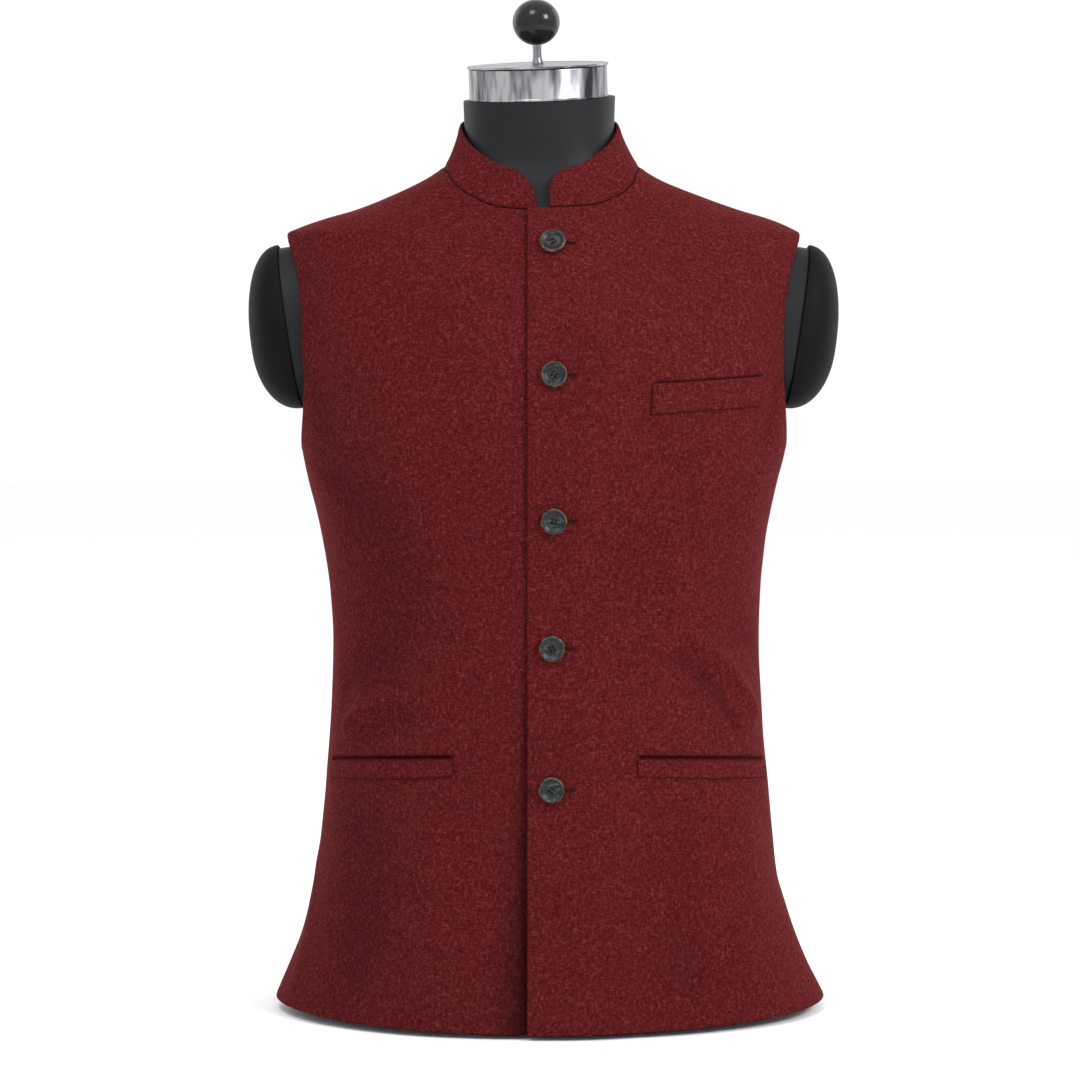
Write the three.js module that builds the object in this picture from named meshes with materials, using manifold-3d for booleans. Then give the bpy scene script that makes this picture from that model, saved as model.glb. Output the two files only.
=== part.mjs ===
// A sleeveless band-collar jacket (nehru jacket) buttoned on a limbless dress form.
// Millimetres, +Z up. X runs to the wearer's left, -Y is the front. The origin is
// the middle of the form's flat underside, so the whole part stands on it.
import * as THREE from "three";
import { mergeVertices } from "three/addons/utils/BufferGeometryUtils.js";
import Module from "manifold-3d";

const wasm = await Module();
wasm.setup();

// ---- Driving dimensions -------------------------------------------------------

const CLOTH = 2; // wool with its interlining
const SEAM = 0.3; // gap between two pieces that are sewn together
const QUARTER = Math.PI / 2;

// Outside of the jacket: half-widths to -X and +X, depths to the front and the back
// of y = 0, the side seam's y, and how square the section is (2 is an ellipse).
const JACKET = [
  { z: -20, minusX: 229, plusX: 241, front: 136, back: 130, mid: 0, power: 2.05 },
  { z: 8, minusX: 220, plusX: 231, front: 134, back: 127, mid: 0, power: 2.05 },
  { z: 37, minusX: 208, plusX: 216.5, front: 132.5, back: 123.5, mid: 0, power: 2.07 },
  { z: 62, minusX: 198.5, plusX: 206.5, front: 131, back: 120.5, mid: 0, power: 2.1 },
  { z: 87, minusX: 192, plusX: 198.5, front: 129.5, back: 118, mid: 0, power: 2.13 },
  { z: 112, minusX: 186.5, plusX: 191.5, front: 128.5, back: 115.5, mid: 0, power: 2.16 },
  { z: 150, minusX: 181.5, plusX: 187.5, front: 127, back: 111, mid: 0, power: 2.2 },
  { z: 187, minusX: 178, plusX: 184.5, front: 126, back: 107, mid: 0, power: 2.22 },
  { z: 236, minusX: 174, plusX: 179, front: 124, back: 102, mid: 0, power: 2.25 },
  { z: 300, minusX: 172, plusX: 175, front: 122.5, back: 100, mid: 0, power: 2.28 },
  { z: 345, minusX: 174, plusX: 176.5, front: 124, back: 103, mid: 0, power: 2.3 },
  { z: 384, minusX: 179, plusX: 180.5, front: 126.5, back: 108, mid: 0, power: 2.3 },
  { z: 409, minusX: 184, plusX: 185, front: 128.5, back: 112, mid: 0, power: 2.3 },
  { z: 433, minusX: 190.5, plusX: 190.5, front: 130, back: 115.5, mid: 0, power: 2.3 },
  { z: 458, minusX: 196, plusX: 197, front: 131, back: 118.5, mid: 0, power: 2.3 },
  { z: 485, minusX: 200, plusX: 201, front: 130, back: 121, mid: 1, power: 2.3 },
  { z: 520, minusX: 205, plusX: 205.5, front: 125.5, back: 122, mid: 2, power: 2.3 },
  { z: 560, minusX: 209, plusX: 209, front: 116.5, back: 119, mid: 4, power: 2.3 },
  { z: 600, minusX: 210.5, plusX: 210.5, front: 101, back: 110, mid: 5, power: 2.3 },
  { z: 622, minusX: 210, plusX: 210, front: 89, back: 103, mid: 6, power: 2.3 },
  { z: 633, minusX: 208, plusX: 208, front: 82, back: 98, mid: 6, power: 2.3 },
  { z: 638, minusX: 198, plusX: 200, front: 78, back: 96, mid: 6, power: 2.3 },
  { z: 645, minusX: 178, plusX: 183, front: 72.5, back: 92, mid: 6, power: 2.3 },
  { z: 652.5, minusX: 152, plusX: 158, front: 67, back: 88.5, mid: 6, power: 2.3 },
  { z: 664.5, minusX: 122, plusX: 124.5, front: 63.5, back: 82.5, mid: 6, power: 2.3 },
  { z: 676.5, minusX: 97, plusX: 95, front: 60.5, back: 76.5, mid: 6, power: 2.3 },
  { z: 684, minusX: 85, plusX: 82, front: 59, back: 73, mid: 6, power: 2.3 },
  { z: 690, minusX: 77, plusX: 74, front: 58, back: 70, mid: 6, power: 2.3 },
  { z: 700, minusX: 70, plusX: 66, front: 57, back: 65.5, mid: 6, power: 2.3 },
];

// Outside of the dress form, in the same columns.
const FORM = [
  { z: 0, minusX: 168, plusX: 170, front: 104, back: 101, mid: 0, power: 2.2 },
  { z: 60, minusX: 172, plusX: 174, front: 109, back: 106, mid: 0, power: 2.2 },
  { z: 120, minusX: 171, plusX: 174, front: 110, back: 104, mid: 0, power: 2.2 },
  { z: 200, minusX: 163, plusX: 166, front: 108, back: 96, mid: 0, power: 2.2 },
  { z: 290, minusX: 157, plusX: 159, front: 106, back: 90, mid: 0, power: 2.25 },
  { z: 345, minusX: 160, plusX: 161, front: 110, back: 94, mid: 0, power: 2.3 },
  { z: 384, minusX: 166, plusX: 167, front: 114, back: 100, mid: 0, power: 2.3 },
  { z: 433, minusX: 179, plusX: 179, front: 120, back: 108, mid: 0, power: 2.3 },
  { z: 458, minusX: 187, plusX: 187, front: 122, back: 111.5, mid: 0, power: 2.3 },
  { z: 485, minusX: 194, plusX: 194, front: 122.5, back: 114.5, mid: 1, power: 2.3 },
  { z: 520, minusX: 200, plusX: 200, front: 119, back: 116, mid: 2, power: 2.3 },
  { z: 560, minusX: 203.5, plusX: 203.5, front: 110.5, back: 113, mid: 4, power: 2.3 },
  { z: 595, minusX: 204.5, plusX: 204.5, front: 97.5, back: 105, mid: 5, power: 2.3 },
  { z: 615, minusX: 203, plusX: 203, front: 86.5, back: 98.5, mid: 6, power: 2.3 },
  { z: 627, minusX: 200, plusX: 200, front: 79, back: 93, mid: 6, power: 2.3 },
  { z: 632.5, minusX: 192, plusX: 194, front: 75, back: 90.5, mid: 6, power: 2.3 },
  { z: 640.5, minusX: 174, plusX: 178, front: 69, back: 87, mid: 6, power: 2.3 },
  { z: 648, minusX: 150, plusX: 154, front: 63.5, back: 83.5, mid: 6, power: 2.3 },
  { z: 660, minusX: 119, plusX: 121, front: 59.5, back: 77.5, mid: 6, power: 2.3 },
  { z: 671, minusX: 96, plusX: 93.5, front: 57, back: 72, mid: 6, power: 2.3 },
  { z: 680, minusX: 80, plusX: 75, front: 54, back: 67, mid: 5, power: 2.3 },
  { z: 690, minusX: 68.5, plusX: 60.5, front: 51.5, back: 61, mid: 4, power: 2.25 },
  { z: 702, minusX: 64.6, plusX: 57.4, front: 52, back: 58, mid: 2, power: 2.15 },
  { z: 720, minusX: 64.4, plusX: 57.4, front: 53, back: 57.5, mid: 2, power: 2.1 },
  { z: 742.5, minusX: 65, plusX: 58, front: 54.5, back: 58, mid: 2, power: 2.1 },
];

// Neckline seam: the turn round the body from the front centre, in degrees, and its height.
const NECKLINE = [
  { turn: 0, z: 650.5 },
  { turn: 11, z: 651.8 },
  { turn: 26, z: 661.8 },
  { turn: 41, z: 672.5 },
  { turn: 57, z: 681.5 },
  { turn: 90, z: 689 },
  { turn: 130, z: 694 },
  { turn: 180, z: 697 },
];

// Top edge of the collar: the turn round the neck, in degrees, and its height.
const COLLAR_TOP = [
  { turn: 0, z: 681 },
  { turn: 25, z: 684.5 },
  { turn: 48, z: 696 },
  { turn: 90, z: 721 },
  { turn: 130, z: 730 },
  { turn: 180, z: 735 },
];

const HEM = { front: 4, side: 9, back: 8 }; // heights of the hem
const ARMHOLE = { low: 458, high: 633, front: 56, back: 60 };
const VENT = { top: 106, halfGap: 3.2 }; // slit at each side seam, at the hem

const LAP = { edge: -12.8, under: 22, flatTo: 30, fadeTo: 75, lift: 3 }; // x of the closing
const COLLAR = {
  centre: { x: -3.5, y: 1.5 },
  half: { x: 64.3, front: 61.5, back: 60.6 },
  wall: 1.8,
  rise: 1.4, // above the neckline's edge
  corner: 14, // radius of the front corners
  endLow: 4.6, // x of the front ends at the seam and at the top
  endHigh: 7,
};

const WELT = { wall: 1.6, gap: 0.6 };
const CHEST_WELT = { xIn: 83, xOut: 171, zIn: 490, zOut: 495.5, height: 23.5 };
const HIP_WELT = { xIn: 73.5, turnOut: 74.5, zIn: 206, zOut: 194, height: 13.5 };

const BUTTON = { radius: 10.2, wall: 4, dish: 1.5, rim: 2, holeRadius: 0.95, holeAt: 2.1 };
const BUTTONS = [
  { x: 6.9, z: 622 },
  { x: 7.9, z: 520.5 },
  { x: 7.9, z: 408 },
  { x: 6.4, z: 308 },
  { x: 6.1, z: 197 },
];

// The arm caps close the form's shoulders: a dome on a leaning oval base.
const CAP = {
  base: { x: 195, y: 3, z: 492 },
  lean: Math.atan2(20, 133),
  low: 52, // from the base's lowest point to its widest one
  high: 82, // from there to its top
  halfDepth: 55,
  bulge: 34.5,
};

// The neck's top plane dips to the front and to -X.
const NECK_TOP = { pitch: 0.12, roll: 0.033, z: 742.5 };
const BAND = { radius: 56, height: 25, x: -4, y: 2 };
const PLATE = { radius: 57.4, wall: 1.8 };
const STEM = { radius: 3.6, foot: 4.7, height: 15 };
const KNOB = { radius: 19.1, height: 36 };

// ---- Colours ------------------------------------------------------------------

const finish = (color, roughness, metalness = 0) =>
  new THREE.MeshStandardMaterial({ color, roughness, metalness });
const WOOL = finish(0x5f1f21, 0.95);
const HORN = finish(0x23262a, 0.35);
const BLACK_SHELL = finish(0x26282a, 0.45);
const CHROME = finish(0xc8c8ca, 0.12, 1);
const KNOB_BLACK = finish(0x1c1d1f, 0.2);

// ---- Small helpers ------------------------------------------------------------

const mix = (a, b, t) => a + (b - a) * t;
const radians = (degrees) => (degrees * Math.PI) / 180;
const smoothStep = (t) => {
  const c = Math.min(1, Math.max(0, t));
  return c * c * (3 - 2 * c);
};

// One column of a table at a height or turn, on a monotone cubic through its rows.
function along(table, column, at, key = "z") {
  const last = table.length - 1;
  if (at <= table[0][key]) return table[0][column];
  if (at >= table[last][key]) return table[last][column];
  let i = 0;
  while (table[i + 1][key] < at) i += 1;
  const step = (k) => table[k + 1][key] - table[k][key];
  const rise = (k) => (table[k + 1][column] - table[k][column]) / step(k);
  const slope = (k) => {
    if (k === 0) return rise(0);
    if (k === last) return rise(last - 1);
    const [before, after] = [rise(k - 1), rise(k)];
    return before * after <= 0 ? 0 : (2 * before * after) / (before + after);
  };
  const h = step(i);
  const t = (at - table[i][key]) / h;
  const [t2, t3] = [t * t, t * t * t];
  return (
    (2 * t3 - 3 * t2 + 1) * table[i][column] +
    (t3 - 2 * t2 + t) * h * slope(i) +
    (3 * t2 - 2 * t3) * table[i + 1][column] +
    (t3 - t2) * h * slope(i + 1)
  );
}

// ---- The two bodies of section rings -------------------------------------------

// A point of a body: turn 0 is the front centre, a quarter the side at +X, a half the back.
function bodyPoint(body, turn, z) {
  const [s, c] = [Math.sin(turn), Math.cos(turn)];
  const power = along(body, "power", z);
  const reach = (Math.abs(s) ** power + Math.abs(c) ** power) ** (-1 / power);
  const half = along(body, s < 0 ? "minusX" : "plusX", z);
  const mid = along(body, "mid", z);
  const depth = c > 0 ? along(body, "front", z) + mid : along(body, "back", z) - mid;
  return new THREE.Vector3(half * s * reach, mid - depth * c * reach, z);
}

function bodyNormal(body, turn, z) {
  const [dt, dz] = [0.01, 1];
  const across = bodyPoint(body, turn + dt, z).sub(bodyPoint(body, turn - dt, z));
  const up = bodyPoint(body, turn, z + dz).sub(bodyPoint(body, turn, z - dz));
  return across.cross(up).normalize();
}

const moved = (body, turn, z, out) =>
  bodyPoint(body, turn, z).addScaledVector(bodyNormal(body, turn, z), out);

// The turn at which a body's section passes a given x on its front.
function turnAtX(body, x, z) {
  const share = Math.abs(x) / along(body, x < 0 ? "minusX" : "plusX", z);
  const power = along(body, "power", z);
  return Math.sign(x) * Math.atan2(share, (1 - share ** power) ** (1 / power));
}

// The turn, on the +X side, at which a section lies a given depth in front of (or behind) the seam.
function turnAtDepth(body, depth, z, facing) {
  const mid = along(body, "mid", z);
  const full = facing === "front" ? along(body, "front", z) + mid : along(body, "back", z) - mid;
  const power = along(body, "power", z);
  const share = depth / full;
  const angle = Math.atan2((1 - share ** power) ** (1 / power), share);
  return facing === "front" ? angle : Math.PI - angle;
}

// ---- Closed meshes from grids of points -----------------------------------------

function geometryOf(points, triangles) {
  const geometry = new THREE.BufferGeometry();
  geometry.setAttribute(
    "position",
    new THREE.Float32BufferAttribute(points.flatMap((p) => [p.x, p.y, p.z]), 3),
  );
  geometry.setIndex(triangles.flat());
  geometry.computeVertexNormals();
  return geometry;
}

// A wall between two grids of the same shape. Rows run up and columns run with the turn.
function wall(outer, inner) {
  const [rows, columns] = [outer.length, outer[0].length];
  const id = (layer, r, c) => (layer * rows + r) * columns + c;
  const triangles = [];
  const quad = (a, b, c, d) => triangles.push([a, b, c], [a, c, d]);
  for (let r = 0; r < rows - 1; r += 1) {
    for (let c = 0; c < columns - 1; c += 1) {
      quad(id(0, r, c), id(0, r, c + 1), id(0, r + 1, c + 1), id(0, r + 1, c));
      quad(id(1, r, c), id(1, r + 1, c), id(1, r + 1, c + 1), id(1, r, c + 1));
    }
    quad(id(0, r, 0), id(0, r + 1, 0), id(1, r + 1, 0), id(1, r, 0));
    const e = columns - 1;
    quad(id(0, r, e), id(1, r, e), id(1, r + 1, e), id(0, r + 1, e));
  }
  for (let c = 0; c < columns - 1; c += 1) {
    quad(id(0, 0, c), id(1, 0, c), id(1, 0, c + 1), id(0, 0, c + 1));
    const t = rows - 1;
    quad(id(0, t, c), id(0, t, c + 1), id(1, t, c + 1), id(1, t, c));
  }
  return geometryOf([...outer.flat(), ...inner.flat()], triangles);
}

// A closed loft through rings of the same count, each capped at its middle.
function loft(rings) {
  const count = rings[0].length;
  const points = rings.flat();
  const middle = (ring) =>
    ring.reduce((sum, p) => sum.add(p), new THREE.Vector3()).divideScalar(count);
  const low = points.push(middle(rings[0])) - 1;
  const high = points.push(middle(rings.at(-1))) - 1;
  const triangles = [];
  for (let k = 0; k < count; k += 1) {
    const n = (k + 1) % count;
    triangles.push([low, n, k]);
    const top = (rings.length - 1) * count;
    triangles.push([high, top + k, top + n]);
    for (let r = 0; r < rings.length - 1; r += 1) {
      const [a, b] = [r * count, (r + 1) * count];
      triangles.push([a + k, a + n, b + n], [a + k, b + n, b + k]);
    }
  }
  return geometryOf(points, triangles);
}

function solidOf(geometry) {
  const bare = geometry.index ? geometry.toNonIndexed() : geometry.clone();
  bare.deleteAttribute("normal");
  bare.deleteAttribute("uv");
  const merged = mergeVertices(bare, 1e-4);
  return new wasm.Manifold(
    new wasm.Mesh({
      numProp: 3,
      vertProperties: merged.attributes.position.array,
      triVerts: new Uint32Array(merged.index.array),
    }),
  );
}

function geometryFrom(solid) {
  const mesh = solid.getMesh();
  const geometry = new THREE.BufferGeometry();
  geometry.setAttribute("position", new THREE.BufferAttribute(mesh.vertProperties, 3));
  geometry.setIndex(new THREE.BufferAttribute(mesh.triVerts, 1));
  geometry.computeVertexNormals();
  return geometry;
}

const part = new THREE.Group();

function add(name, geometry, material, parent = part) {
  const mesh = new THREE.Mesh(geometry, material);
  mesh.name = name;
  parent.add(mesh);
  return mesh;
}

// ---- Cloth panels ---------------------------------------------------------------

const neckZ = (turn) => along(NECKLINE, "z", (Math.abs(turn) * 180) / Math.PI, "turn");

function hemZ(turn) {
  const c = Math.cos(turn);
  return mix(HEM.side, c > 0 ? HEM.front : HEM.back, c * c);
}

// How far a panel's side edge stays off the seam, which opens into the vent below.
function sideGap(z) {
  const open = Math.max(0, 1 - z / VENT.top);
  return SEAM / 2 + VENT.halfGap * open ** 1.3;
}

// The armhole's edge: 0 at the underarm, 1 at the shoulder's tip.
function armholeEdge(t, facing) {
  const z = mix(ARMHOLE.low, ARMHOLE.high, (1 - Math.cos(Math.PI * t)) / 2);
  const depth = Math.max(SEAM / 2, ARMHOLE[facing] * Math.sin(Math.PI * t));
  return { turn: turnAtDepth(JACKET, depth, z, facing), z };
}

const ROWS = { body: 13, chest: 6, neck: 10 };
const CHEST_SHARE = 0.61; // share of the armhole beside the rows that end on the front edge

// The rows of a panel, each from its edge at the centre to its edge at the side.
// centreTurn(z) is the turn of the centre edge, and centreTop is the neckline's turn there.
function panelRows(facing, centreTurn, centreTop) {
  const rows = [];
  for (let j = 0; j <= ROWS.body; j += 1) {
    const share = j / ROWS.body;
    const high = (turn) => mix(hemZ(turn), ARMHOLE.low, share);
    const z = mix(HEM[facing], ARMHOLE.low, share);
    rows.push({
      from: { turn: centreTurn(z) },
      to: { turn: turnAtDepth(JACKET, sideGap(mix(HEM.side, ARMHOLE.low, share)), z, facing) },
      high,
    });
  }
  for (let j = 1; j <= ROWS.chest; j += 1) {
    const share = j / ROWS.chest;
    const z = mix(ARMHOLE.low, neckZ(centreTop), share);
    rows.push({
      from: { turn: centreTurn(z), z },
      to: armholeEdge(CHEST_SHARE * share, facing),
    });
  }
  for (let j = 1; j <= ROWS.neck; j += 1) {
    const share = j / ROWS.neck;
    const seamTurn = turnAtDepth(JACKET, SEAM / 2, neckZ(QUARTER), facing);
    const turn = mix(centreTop, seamTurn, share);
    rows.push({
      from: { turn, z: neckZ(turn) },
      to: armholeEdge(mix(CHEST_SHARE, 1, share), facing),
    });
  }
  return rows;
}

// A cloth wall over rows. side is 1 for +X and -1 for -X; lift(x, z) raises it off the body.
function panel(rows, columns, side, lift = () => 0) {
  const layer = (depth) =>
    rows.map((row) =>
      Array.from({ length: columns + 1 }, (_, c) => {
        const share = c / columns;
        const turn = mix(row.from.turn, row.to.turn, share);
        const z = row.high ? row.high(turn) : mix(row.from.z, row.to.z, share);
        const at = side * turn;
        return moved(JACKET, at, z, lift(bodyPoint(JACKET, at, z).x) - depth);
      }),
    );
  const [outer, inner] = [layer(0), layer(CLOTH)];
  const withTurn = rows[0].to.turn > rows[0].from.turn;
  if (withTurn !== side > 0) [...outer, ...inner].forEach((row) => row.reverse());
  return wall(outer, inner);
}

// The wearer's left front laps over the right one, so it stands off by one cloth and a gap.
const lapLift = (x) => LAP.lift * (1 - smoothStep((x - LAP.flatTo) / (LAP.fadeTo - LAP.flatTo)));

function addFronts() {
  const over = (z) => turnAtX(JACKET, LAP.edge, z);
  add(
    "front_left",
    panel(panelRows("front", over, over(neckZ(0))), 17, 1, lapLift),
    WOOL,
  );
  const under = (z) => -turnAtX(JACKET, LAP.under, z);
  add("front_right", panel(panelRows("front", under, under(neckZ(0))), 17, -1), WOOL);
}

// The back is cut whole, so its two halves are joined down the middle.
function addBack() {
  const rows = panelRows("back", () => Math.PI, Math.PI);
  const [left, right] = [1, -1].map((side) => solidOf(panel(rows, 13, side)));
  add("back", geometryFrom(left.add(right)), WOOL);
}

// ---- Collar ---------------------------------------------------------------------

// The neckline's point at an angle round the neck, from the front towards +X.
function necklinePoint(around) {
  const side = Math.sin(around) < 0 ? -1 : 1;
  const wanted = Math.acos(Math.cos(around));
  const pointAt = (turn) => bodyPoint(JACKET, side * turn, neckZ(turn));
  let [low, high] = [0, Math.PI];
  for (let k = 0; k < 40; k += 1) {
    const turn = (low + high) / 2;
    const p = pointAt(turn);
    const angle = Math.atan2(Math.abs(p.x), COLLAR.centre.y - p.y);
    if (angle < wanted) low = turn;
    else high = turn;
  }
  return { point: pointAt(low), turn: side * low };
}

function collarTopPoint(around) {
  const [s, c] = [Math.sin(around), Math.cos(around)];
  const degrees = (Math.acos(c) * 180) / Math.PI;
  return new THREE.Vector3(
    COLLAR.centre.x + COLLAR.half.x * s,
    COLLAR.centre.y - (c > 0 ? COLLAR.half.front : COLLAR.half.back) * c,
    along(COLLAR_TOP, "z", degrees, "turn"),
  );
}

function addCollar() {
  const [columns, rows] = [56, 4];
  const around = (share, end) => -end - share * (2 * Math.PI - 2 * end);
  const outerPoint = (share, high) => {
    const endAngle = mix(COLLAR.endLow, COLLAR.endHigh, high) / COLLAR.half.x;
    const low = necklinePoint(around(share, endAngle));
    const nearFront = low.point.x > 0 && low.point.y < 0;
    const lift = nearFront ? lapLift(low.point.x) : 0;
    const base = low.point.clone().addScaledVector(bodyNormal(JACKET, low.turn, low.point.z), lift);
    base.z += COLLAR.rise;
    return base.lerp(collarTopPoint(around(share, endAngle)), high);
  };
  // The top of the band curves down to each end in a quarter circle.
  const fullHeight = 33;
  const top = (share) => {
    const run = Math.min(share, 1 - share) * 2 * Math.PI * COLLAR.half.x;
    const left = Math.max(0, 1 - run / COLLAR.corner);
    return 1 - (COLLAR.corner / fullHeight) * (1 - Math.sqrt(1 - left * left));
  };
  const [outer, inner] = [[], []];
  const step = 1e-3;
  for (let r = 0; r <= rows; r += 1) {
    outer.push([]);
    inner.push([]);
    for (let c = 0; c <= columns; c += 1) {
      const even = c / columns;
      const share = mix(even, (1 - Math.cos(Math.PI * even)) / 2, 0.55);
      const high = (top(share) * r) / rows;
      const p = outerPoint(share, high);
      const across = outerPoint(share + step, high).sub(outerPoint(share - step, high));
      const up = outerPoint(share, high + step).sub(outerPoint(share, high - step));
      const out = up.cross(across).normalize();
      outer[r].unshift(p);
      inner[r].unshift(p.clone().addScaledVector(out, -COLLAR.wall));
    }
  }
  add("collar", wall(outer, inner), WOOL);
}

// ---- Pockets --------------------------------------------------------------------

// A welt lies on the front: a strip between two turns, with its lower edge at low(turn).
function welt(fromTurn, toTurn, low, height, lift) {
  const [columns, rows] = [12, 2];
  const layer = (out) =>
    Array.from({ length: rows + 1 }, (_, r) =>
      Array.from({ length: columns + 1 }, (__, c) => {
        const share = c / columns;
        const turn = mix(fromTurn, toTurn, share);
        const z = low(share) + (height * r) / rows;
        return moved(JACKET, turn, z, lift(bodyPoint(JACKET, turn, z).x) + out);
      }),
    );
  return wall(layer(WELT.gap + WELT.wall), layer(WELT.gap));
}

function addPockets() {
  const chest = CHEST_WELT;
  add(
    "chest_welt",
    welt(
      turnAtX(JACKET, chest.xIn, chest.zIn),
      turnAtX(JACKET, chest.xOut, chest.zOut),
      (share) => mix(chest.zIn, chest.zOut, share),
      chest.height,
      () => 0,
    ),
    WOOL,
  );
  const hip = HIP_WELT;
  const inTurn = (x) => turnAtX(JACKET, x, hip.zIn);
  const low = (share) => mix(hip.zIn, hip.zOut, share);
  const outTurn = radians(hip.turnOut);
  add("hip_welt_left", welt(inTurn(hip.xIn), outTurn, low, hip.height, lapLift), WOOL);
  add(
    "hip_welt_right",
    welt(-outTurn, inTurn(-hip.xIn), (share) => low(1 - share), hip.height, () => 0),
    WOOL,
  );
}

// ---- Buttons --------------------------------------------------------------------

function buttonGeometry() {
  const { radius, wall: thick, dish, rim, holeRadius, holeAt } = BUTTON;
  const profile = [
    [0, 0],
    [radius * 0.62, 0],
    [radius, thick * 0.45],
    [radius, thick * 0.7],
    [radius - 0.5 * rim, thick],
    [radius - rim, thick - 0.2 * dish],
    [radius * 0.55, thick - dish],
    [0, thick - dish],
  ].map(([x, y]) => new THREE.Vector2(x, y));
  let solid = solidOf(new THREE.LatheGeometry(profile, 20));
  for (let k = 0; k < 4; k += 1) {
    const angle = QUARTER * (k + 0.5);
    const drill = new THREE.CylinderGeometry(holeRadius, holeRadius, 3 * thick, 6);
    drill.translate(holeAt * Math.cos(angle), 0, holeAt * Math.sin(angle));
    solid = solid.subtract(solidOf(drill));
  }
  return geometryFrom(solid);
}

function addButtons() {
  const geometry = buttonGeometry();
  const stand = 1.2; // thread shank between the cloth and the button
  BUTTONS.forEach(({ x, z }, k) => {
    const turn = turnAtX(JACKET, x, z);
    const button = add(`button_${k + 1}`, geometry, HORN);
    button.position.copy(moved(JACKET, turn, z, LAP.lift + stand));
    button.quaternion.setFromUnitVectors(
      new THREE.Vector3(0, 1, 0),
      bodyNormal(JACKET, turn, z),
    );
  });
}

// ---- Dress form -----------------------------------------------------------------

// Heights of the form's rings: the table's rows, with one between each wide pair.
function formHeights() {
  const heights = [];
  FORM.forEach(({ z }, k) => {
    if (k > 0 && z - FORM[k - 1].z > 45) heights.push((z + FORM[k - 1].z) / 2);
    heights.push(z);
  });
  return heights;
}

// A ring of the cap's oval outline, in the cap's own frame: X out of its base, Z up it.
function capRing(out, spread) {
  const [around, power] = [28, 2.2];
  return Array.from({ length: around }, (_, k) => {
    const angle = (2 * Math.PI * k) / around;
    const [s, c] = [Math.sin(angle), Math.cos(angle)];
    const reach = (Math.abs(s) ** power + Math.abs(c) ** power) ** (-1 / power) * spread;
    const tall = c > 0 ? CAP.high : CAP.low;
    return new THREE.Vector3(out, -CAP.halfDepth * s * reach, CAP.low + tall * c * reach);
  });
}

// Puts geometry of the cap's frame on the form's +X side (1) or its -X side (-1).
function onShoulder(geometry, side) {
  const place = new THREE.Matrix4().makeRotationY(CAP.lean);
  place.setPosition(CAP.base.x, 0, CAP.base.z);
  geometry.applyMatrix4(place);
  if (side < 0) geometry.rotateZ(Math.PI);
  return geometry.translate(0, CAP.base.y, 0);
}

function addTorso() {
  const around = 40;
  const neckFoot = 702;
  const rings = formHeights().map((z) =>
    Array.from({ length: around }, (_, k) => {
      const p = bodyPoint(FORM, (2 * Math.PI * k) / around, z);
      const share = smoothStep((z - neckFoot) / (NECK_TOP.z - neckFoot));
      p.z += share * (NECK_TOP.pitch * (p.y - BAND.y) + NECK_TOP.roll * (p.x - BAND.x));
      return p;
    }),
  );
  let torso = solidOf(loft(rings));
  const stubLength = 60;
  for (const side of [-1, 1]) {
    const stub = loft([capRing(-stubLength, 0.8), capRing(0, 0.97)]);
    const beyond = new THREE.BoxGeometry(100, 300, 300).translate(50, 0, 0);
    torso = torso.add(solidOf(onShoulder(stub, side)));
    torso = torso.subtract(solidOf(onShoulder(beyond, side)));
  }
  const sliver = 0.05; // drops the cuts' thinnest triangles
  add("form_torso", geometryFrom(torso.simplify(sliver)), BLACK_SHELL);
}

function addCap(name, side) {
  const levels = 6;
  const rings = Array.from({ length: levels + 1 }, (_, r) => {
    const climb = (r / (levels + 0.35)) * QUARTER;
    return capRing(SEAM + CAP.bulge * Math.sin(climb), Math.cos(climb));
  });
  add(name, onShoulder(loft(rings), side), BLACK_SHELL);
}

function addNeckFittings() {
  const fittings = new THREE.Group();
  fittings.position.set(BAND.x, BAND.y, NECK_TOP.z + SEAM);
  fittings.rotation.set(Math.atan(NECK_TOP.pitch), -Math.atan(NECK_TOP.roll), 0);
  part.add(fittings);
  const turned = (profile, segments) =>
    new THREE.LatheGeometry(
      profile.map(([x, y]) => new THREE.Vector2(x, y)),
      segments,
    ).rotateX(QUARTER);
  const { radius, height } = BAND;
  const band = turned(
    [
      [0, 0],
      [radius + 0.8, 0],
      [radius + 0.8, 1.2],
      [radius, 1.8],
      [radius, height],
      [0, height],
    ],
    40,
  );
  add("neck_band", band, CHROME, fittings);
  const plate = turned(
    [
      [0, 0],
      [PLATE.radius - 0.6, 0],
      [PLATE.radius, 0.6],
      [PLATE.radius, PLATE.wall - 0.6],
      [PLATE.radius - 0.6, PLATE.wall],
      [0, PLATE.wall],
    ],
    40,
  );
  const plateMesh = add("neck_plate", plate, CHROME, fittings);
  plateMesh.position.z = height + SEAM;
  const stem = turned(
    [
      [0, 0],
      [STEM.foot, 0],
      [STEM.foot, 2.5],
      [STEM.radius, 7.5],
      [STEM.radius, STEM.height],
      [0, STEM.height],
    ],
    16,
  );
  const stemMesh = add("knob_stem", stem, CHROME, fittings);
  stemMesh.position.z = height + PLATE.wall + 2 * SEAM;
  const flat = Math.asin(STEM.radius / KNOB.radius);
  const steps = 12;
  const ballProfile = [[0, 0]];
  for (let k = 0; k <= steps; k += 1) {
    const angle = mix(flat, Math.PI, k / steps);
    ballProfile.push([
      Math.max(0, KNOB.radius * Math.sin(angle)),
      (KNOB.height / 2) * (1 - Math.cos(angle) / Math.cos(flat)) * (k === 0 ? 0 : 1),
    ]);
  }
  const ball = turned(ballProfile, 28);
  const ballMesh = add("knob_ball", ball, KNOB_BLACK, fittings);
  ballMesh.position.z = height + PLATE.wall + STEM.height + 3 * SEAM;
}

addFronts();
addBack();
addCollar();
addPockets();
addButtons();
addTorso();
addCap("form_cap_left", 1);
addCap("form_cap_right", -1);
addNeckFittings();

export default part;
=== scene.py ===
import math

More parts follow.
